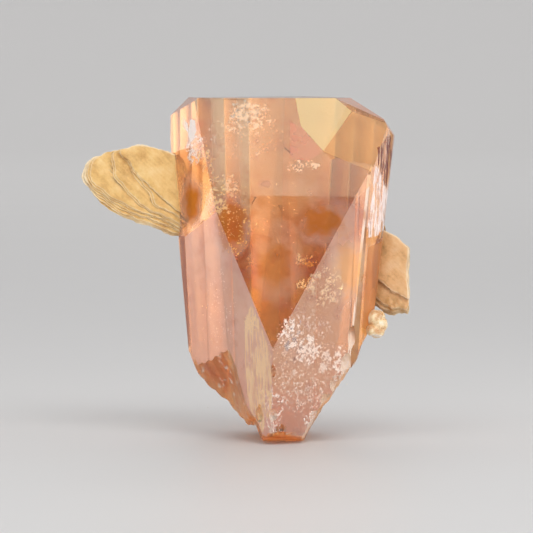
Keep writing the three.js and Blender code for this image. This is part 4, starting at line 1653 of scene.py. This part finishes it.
@dataclass
class AlbiteKnob:
    """A knob of blocky albite lumps low on the right edge of the crystal."""

    finish: AlbiteFinish
    lumps: tuple[tuple[Place, float], ...] = (
        ((16.2, -3.7, 21), 1.5),
        ((17.1, -3.4, 19.9), 1.5),
        ((16.7, -3.6, 18.8), 1.35),
        ((15.7, -4.5, 19), 1.05),
        ((17, -2.7, 21.2), 1.15),
    )
    socket_gap: float = 0.05
    sharp_from: float = 24.0
    cleavages: int = 7
    cleavage_reach: float = 0.86
    cleavage_facing: float = 0.1
    bumps: float = 2.4
    roughness: float = 0.05

    def lump(self, at: Place, radius: float, index: int, grow: float) -> bpy.types.Object:
        """One lump, rough and blocky, grown all round by a little."""
        shape = bmesh.new()
        bmesh.ops.create_icosphere(shape, subdivisions=5, radius=1.0)
        rng = random.Random(index)
        ways = [Vector([rng.uniform(-1, 1) for _ in range(3)]) for _ in range(self.cleavages)]
        normals = [way.normalized() for way in ways]
        for corner in shape.verts:
            way = corner.co.normalized()
            rough = noise.fractal(way * self.bumps + Vector((index * 5.0, 0, 0)), 1.0, 2.0, 4)
            reach = 0.98 + self.roughness * rough
            for normal in normals:
                facing = way.dot(normal)
                if facing > self.cleavage_facing:
                    reach = min(reach, self.cleavage_reach / facing)
            corner.co = Vector(at) + way * (radius * reach + grow)
        return Workshop.from_bmesh("lump", shape)

    def solid(self, name: str, grow: float) -> bpy.types.Object:
        """All lumps joined in one, grown all round by a little."""
        lumps = [self.lump(at, radius, i, grow) for i, (at, radius) in enumerate(self.lumps)]
        Workshop.boolean(lumps[0], lumps[1:], "UNION")
        lumps[0].name = name
        return lumps[0]

    def socket(self) -> bpy.types.Object:
        """The knob's own shape, a hair larger."""
        return self.solid("knob_socket", self.socket_gap)

    def build(self) -> bpy.types.Object:
        """Join the lumps and dress them.

        Returns:
            The finished knob.
        """
        knob = self.solid("albite_lumps", 0.0)
        Workshop.smooth(knob, self.sharp_from)
        Workshop.finish(knob, Slot.ALBITE, self.finish.material(), "albite_knob")
        return knob


@dataclass
class Veil:
    """A cloud of small flakes inside the crystal, along a bent sheet where a crack has healed.

    Each cluster has its centre, its radii and its number of branches, and each branch wanders off
    in steps and turns with a flake at every step.
    """

    name: str
    finish: FleckFinish
    clusters: tuple[tuple[Place, Place, int], ...]
    size: float
    seed: int
    branch: tuple[int, int] = (5, 13)
    needles: tuple[tuple[Place, Place, float], ...] = ()
    spread: float = 0.45
    sizes: Point = (0.4, 1.3)
    turning: float = 1.5
    steps: Point = (0.6, 1.9)
    corners: tuple[int, int] = (6, 9)
    reaches: Point = (0.45, 1.0)
    thickness: float = 0.09
    needle_sides: int = 6
    needle_profile: tuple[Point, ...] = ((0.2, 0.8), (0.55, 1.0), (0.85, 0.5))

    def build(self) -> bpy.types.Object:
        """Scatter the flakes in small branching clusters and dress them.

        Returns:
            The finished veil.
        """
        rng = random.Random(self.seed)
        shape = bmesh.new()
        for centre, radii, count in self.clusters:
            for _ in range(count):
                away = Vector([rng.gauss(0, self.spread) for _ in range(3)])
                at = Vector(centre) + Vector([a * radius for a, radius in zip(away, radii)])
                way = rng.uniform(0, 2 * math.pi)
                for _ in range(rng.randint(*self.branch)):
                    self.flake(shape, at, self.size * rng.uniform(*self.sizes), rng)
                    way += rng.gauss(0, self.turning)
                    step = Vector((math.cos(way), rng.gauss(0, 0.3), math.sin(way)))
                    at = at + step * self.size * rng.uniform(*self.steps)
        for start, end, radius in self.needles:
            self.needle(shape, Vector(start), Vector(end), radius)
        veil = Workshop.from_bmesh(self.name, shape)
        Workshop.finish(veil, Slot.TOPAZ, self.finish.material())
        return veil

    def needle(self, shape: bmesh.types.BMesh, start: Vector, end: Vector, radius: float) -> None:
        """Add one needle, pointed at both ends."""
        along = (end - start).normalized()
        side = along.orthogonal().normalized()
        other = along.cross(side)
        tips = [shape.verts.new(start), shape.verts.new(end)]
        rings = []
        angles = [math.radians(360 / self.needle_sides * i) for i in range(self.needle_sides)]
        around = [side * math.cos(angle) + other * math.sin(angle) for angle in angles]
        for share, wide in self.needle_profile:
            middle = start.lerp(end, share)
            rings.append([shape.verts.new(middle + way * radius * wide) for way in around])
        for outer, inner in zip(rings, rings[1:]):
            MicaBook.band(shape, outer, inner)
        for i in range(self.needle_sides):
            j = (i + 1) % self.needle_sides
            shape.faces.new((rings[0][i], rings[0][j], tips[0]))
            shape.faces.new((rings[-1][j], rings[-1][i], tips[1]))

    def flake(self, shape: bmesh.types.BMesh, at: Vector, size: float, rng: random.Random) -> None:
        """Add one ragged flake, a thin closed lens."""
        normal = Vector((rng.gauss(0, 0.5), -1.0, rng.gauss(0, 0.5))).normalized()
        side = normal.orthogonal().normalized()
        other = normal.cross(side)
        ring = []
        turns = rng.randint(*self.corners)
        for i in range(turns):
            angle = 2 * math.pi * i / turns
            reach = size * rng.uniform(*self.reaches)
            ring.append(shape.verts.new(at + (side * math.cos(angle) + other * math.sin(angle)) * reach))
        top = shape.verts.new(at + normal * size * self.thickness)
        low = shape.verts.new(at - normal * size * self.thickness)
        for i in range(turns):
            j = (i + 1) % turns
            shape.faces.new((ring[i], ring[j], top))
            shape.faces.new((ring[j], ring[i], low))


# ---------------------------------------------------------------- the studio


@dataclass(frozen=True)
class SoftBox:
    """One soft light: where it stands, what it points at, its size and its power in watts."""

    name: str
    at: Place
    towards: Place
    wide: float
    high: float
    power: float

    def build(self) -> None:
        """Hang the light in the scene."""
        lamp = bpy.data.lights.new(self.name, "AREA")
        lamp.shape = "RECTANGLE"
        lamp.size = self.wide
        lamp.size_y = self.high
        lamp.energy = self.power
        holder = bpy.data.objects.new(self.name, lamp)
        bpy.context.scene.collection.objects.link(holder)
        holder.location = self.at
        way = Vector(self.towards) - Vector(self.at)
        holder.rotation_euler = way.to_track_quat("-Z", "Y").to_euler()
        holder.visible_camera = False


@dataclass
class Studio:
    """A plain pale floor that sweeps up to a plain backdrop, soft lights and the camera."""

    floor_colour: Colour = (0.66, 0.65, 0.64)
    floor_roughness: float = 0.42
    floor_wear: Grain = Grain(60.0, 3, 2)
    sky: Colour = (0.35, 0.35, 0.36)
    sky_strength: float = 1.0
    floor_middle: float = 0.3
    floor_radius: float = 1.7
    sweep: float = 1.3
    sweep_steps: int = 24
    turns: int = 96
    lights: tuple[SoftBox, ...] = (
        SoftBox("key", (-0.13, -0.452, 0.808), (0, 0, 0.042), 0.70, 0.57, 2.2),
        SoftBox("front_fill", (0.25, -0.55, 0.70), (0, 0, 0.03), 0.50, 0.40, 2.2),
        SoftBox("front_low", (-0.20, -0.87, 0.125), (0, 0, 0.03), 0.39, 0.21, 1.3),
        SoftBox("right_low", (0.55, -0.70, 0.125), (0, 0, 0.03), 0.39, 0.21, 1.1),
        SoftBox("right_softbox", (0.89, 0, 0.125), (0, 0, 0.03), 0.39, 0.21, 0.3),
        SoftBox("left_softbox", (-0.80, 0.39, 0.125), (0, 0, 0.03), 0.39, 0.21, 0.3),
        SoftBox("left_low", (-0.81, -0.38, 0.125), (0, 0, 0.03), 0.39, 0.21, 0.4),
        SoftBox("right_card", (0.247, 0.082, 0.0605), (0, 0, 0.0605), 0.12, 0.115, 0.085),
        SoftBox("right_low_card", (0.290, -0.085, 0.0625), (0, 0, 0.0625), 0.12, 0.115, 0.12),
        SoftBox("left_card", (-0.288, 0.083, 0.0625), (0, 0, 0.0625), 0.11, 0.115, 0.06),
        SoftBox("overhead", (0, 1.5, 1.2), (0, 1.5, 0), 2.2, 1.9, 14),
    )
    aim: Place = (-2.5375, 1.5579, 29.7267)
    looking_down: float = 3.0
    distance: float = 800.0
    pixel: float = 0.175
    image: int = 533
    sensor: float = 36.0
    bounces: int = 12
    clear_bounces: int = 16

    def floor(self) -> None:
        """Build the floor and its sweep as one smooth round surface."""
        profile = [(0.0, 0.0), (self.floor_middle, 0.0), (self.floor_radius, 0.0)]
        for step in range(1, self.sweep_steps + 1):
            angle = math.radians(90) * step / self.sweep_steps
            reach = self.floor_radius + self.sweep * math.sin(angle)
            profile.append((reach, self.sweep * (1 - math.cos(angle))))
        shape = bmesh.new()
        rows = []
        for reach, height in profile:
            ways = [2 * math.pi * i / self.turns for i in range(self.turns if reach else 1)]
            ring = [(reach * math.cos(way), reach * math.sin(way), height) for way in ways]
            rows.append([shape.verts.new(corner) for corner in ring])
        for i in range(self.turns):
            shape.faces.new((rows[0][0], rows[1][i], rows[1][(i + 1) % self.turns]))
        for inner, outer in zip(rows[1:], rows[2:]):
            MicaBook.band(shape, outer, inner)
        bmesh.ops.recalc_face_normals(shape, faces=shape.faces)
        ground = Workshop.from_bmesh("floor", shape)
        for facet in ground.data.polygons:
            facet.use_smooth = True
        bench = Bench("studio_floor")
        wear = bench.cloud(bench.place(), self.floor_wear)
        surface = bench.principled({
            "Base Color": (*self.floor_colour, 1.0),
            "Roughness": (self.floor_roughness + 0.06 * wear).clamped(),
        })
        ground.data.materials.append(bench.finished(surface))

    def camera(self) -> None:
        """Set the camera up, looking a little down on the crystal."""
        down = math.radians(self.looking_down)
        forward = Vector((0.0, math.cos(down), -math.sin(down)))
        lens = bpy.data.cameras.new("camera")
        lens.sensor_width = self.sensor
        lens.lens = self.sensor * self.distance / (self.image * self.pixel)
        lens.clip_end = 100.0
        camera = bpy.data.objects.new("camera", lens)
        bpy.context.scene.collection.objects.link(camera)
        camera.location = (Vector(self.aim) - forward * self.distance) * MM
        camera.rotation_euler = forward.to_track_quat("-Z", "Y").to_euler()
        bpy.context.scene.camera = camera

    def build(self) -> None:
        """Build the floor, the sky, the lights and the camera."""
        self.floor()
        self.camera()
        for light in self.lights:
            light.build()
        sky = bpy.data.worlds.new("studio_sky")
        sky.use_nodes = True
        sky.node_tree.nodes["Background"].inputs["Color"].default_value = (*self.sky, 1.0)
        sky.node_tree.nodes["Background"].inputs["Strength"].default_value = self.sky_strength
        scene = bpy.context.scene
        scene.world = sky
        scene.view_settings.view_transform = "Standard"
        scene.view_settings.look = "None"
        scene.cycles.max_bounces = self.bounces
        scene.cycles.transmission_bounces = self.bounces
        scene.cycles.transparent_max_bounces = self.clear_bounces


# ---------------------------------------------------------------- the specimen


def left_book() -> MicaBook:
    """The large golden mica book on the left."""
    finish = MicaFinish(
        "mica_golden", (0.56, 0.29, 0.07), (0.80, 0.49, 0.16), (0.88, 0.60, 0.25), (1.0, 0.90, 0.68))
    return MicaBook(
        name="mica_left_sheets", node="mica_book_left", finish=finish,
        place=(-18.4, 4.3, 43), tilt=-17, turn=14, sheet=0.44, seed=3.0, free=(-1.0, -4.0),
        sheets=((1, 1), (0.95, 0.75), (0.58, 0.5), (0.08, 0.36), (0.04, 0.22), (0, 0.08), (0.05, 0)),
        arc=((3.4, -5.6), (3.2, 4.2), (-0.8, 6.5), (-3.5, 7.5), (-7.2, 8)),
        full=((-12.9, 6.9), (-15.6, 5.6), (-16.6, 2.7), (-15.3, 0), (-12.9, -2.6), (-10, -4.4),
              (-4.6, -6.4), (0.6, -8.2)),
        ledge=((-10, 6.8), (-8.4, 4.6), (-7.3, 2.5), (-5.9, 1), (-4.4, -0.4), (-2.7, -2.2), (-0.7, -3.9),
               (1.6, -5.5)),
    )


def right_book() -> MicaBook:
    """The smaller mica book on the right."""
    finish = MicaFinish(
        "mica_tan", (0.44, 0.23, 0.07), (0.74, 0.41, 0.17), (0.80, 0.50, 0.25), (0.98, 0.82, 0.58),
        deep_shade=0.2)
    return MicaBook(
        name="mica_right_sheets", node="mica_book_right", finish=finish,
        place=(18, 0.9, 29), tilt=-12, turn=-10, sheet=0.4, seed=11.0, free=(0.3, 2.0),
        sheets=((1, 1), (0.94, 0.96), (0.16, 0.3), (0.08, 0.12), (0.03, 0.05), (0, 0)),
        lumps=(
            (2, -6.6, 1.2, 0.45), (0.9, -5.4, 0.9, 0.35), (3.9, -6.9, 0.8, 0.25), (2.9, -5.6, 0.6, 0.2)),
        arc=((-4.2, 5.6), (-0.3, 8.4), (0.1, 7.1), (2.4, 6), (4.1, 4.4), (4.42, 4.0), (4.4, 0.2)),
        full=((4.7, -5.7), (4.4, -7.5), (2.9, -7.5), (1.7, -7.9), (0, -7.4), (-1.4, -6.3), (-4.2, -4.6)),
        ledge=((4.5, -5.2), (4.1, -5), (3, -4.4), (1.9, -3.9), (0.9, -3.2), (-0.8, -1.8), (-4.2, -0.4)),
    )


def veils() -> list[Veil]:
    """The golden veils and dark needles inside the crystal."""
    # the golden flecks glow faintly: painted light
    golden = FleckFinish("golden_flecks", (0.95, 0.62, 0.28), (1.0, 0.82, 0.5), 0.9, 0.35)
    dark = FleckFinish("dark_flecks", (0.10, 0.04, 0.02), (0.2, 0.08, 0.03), 0.95)
    return [
        Veil("golden_veils", golden, (
            ((-7.5, -6.6, 38.4), (1.9, 1, 1), 9),
            ((-6.8, -8.4, 34.4), (1.2, 1, 2.6), 16),
            ((-5.4, -10, 30.9), (0.9, 0.8, 1.2), 8),
            ((4.4, -11.3, 31), (2.2, 1.2, 1.9), 22),
            ((4.2, -12.7, 27.4), (1.6, 1, 1.6), 14),
            ((-12.5, -2.2, 43.4), (1.8, 1.5, 4.5), 16),
            ((-9.5, -4.5, 42), (2.4, 1.5, 4), 14),
            ((8.4, -10.4, 26), (1.8, 1, 3), 12),
        ), 0.13, 5),
        Veil("fine_sparks", golden, (
            ((-7.5, -6.5, 41), (5.5, 2, 8), 60),
            ((-0.5, -9, 38), (7, 3, 9), 50),
            ((-11, -7.5, 22), (5, 3, 12), 30),
            ((6.5, -11.5, 20), (5, 3, 10), 40),
        ), 0.075, 13, branch=(1, 2)),
        Veil("dark_specks", dark, (
            ((-4.7, -6.4, 41.7), (0.5, 0.4, 0.5), 2),
            ((-0.2, -7.2, 40.3), (0.7, 0.4, 0.4), 2),
            ((-11.2, -4, 39.6), (0.5, 0.3, 0.6), 2),
        ), 0.12, 8, needles=(
            ((0.2, -4, 51), (2.3, -4.9, 49.1), 0.15),
            ((-4.9, -7, 41.2), (-4.3, -6.9, 42.2), 0.09),
        )),
    ]


def main() -> None:
    """Build the studio, the crystal and everything that grew into it, in order."""
    logging.basicConfig(level=logging.INFO, format="%(message)s")
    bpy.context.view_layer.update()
    Studio().build()
    books = [left_book(), right_book()]
    knob = AlbiteKnob(AlbiteFinish())
    sockets = [book.socket() for book in books] + [knob.socket()]
    crystal = TopazCrystal(TopazFinish())
    crystal.build(sockets)
    for book in books:
        book.build()
    knob.build()
    for veil in veils():
        veil.build()


if __name__ == "__main__":
    main()
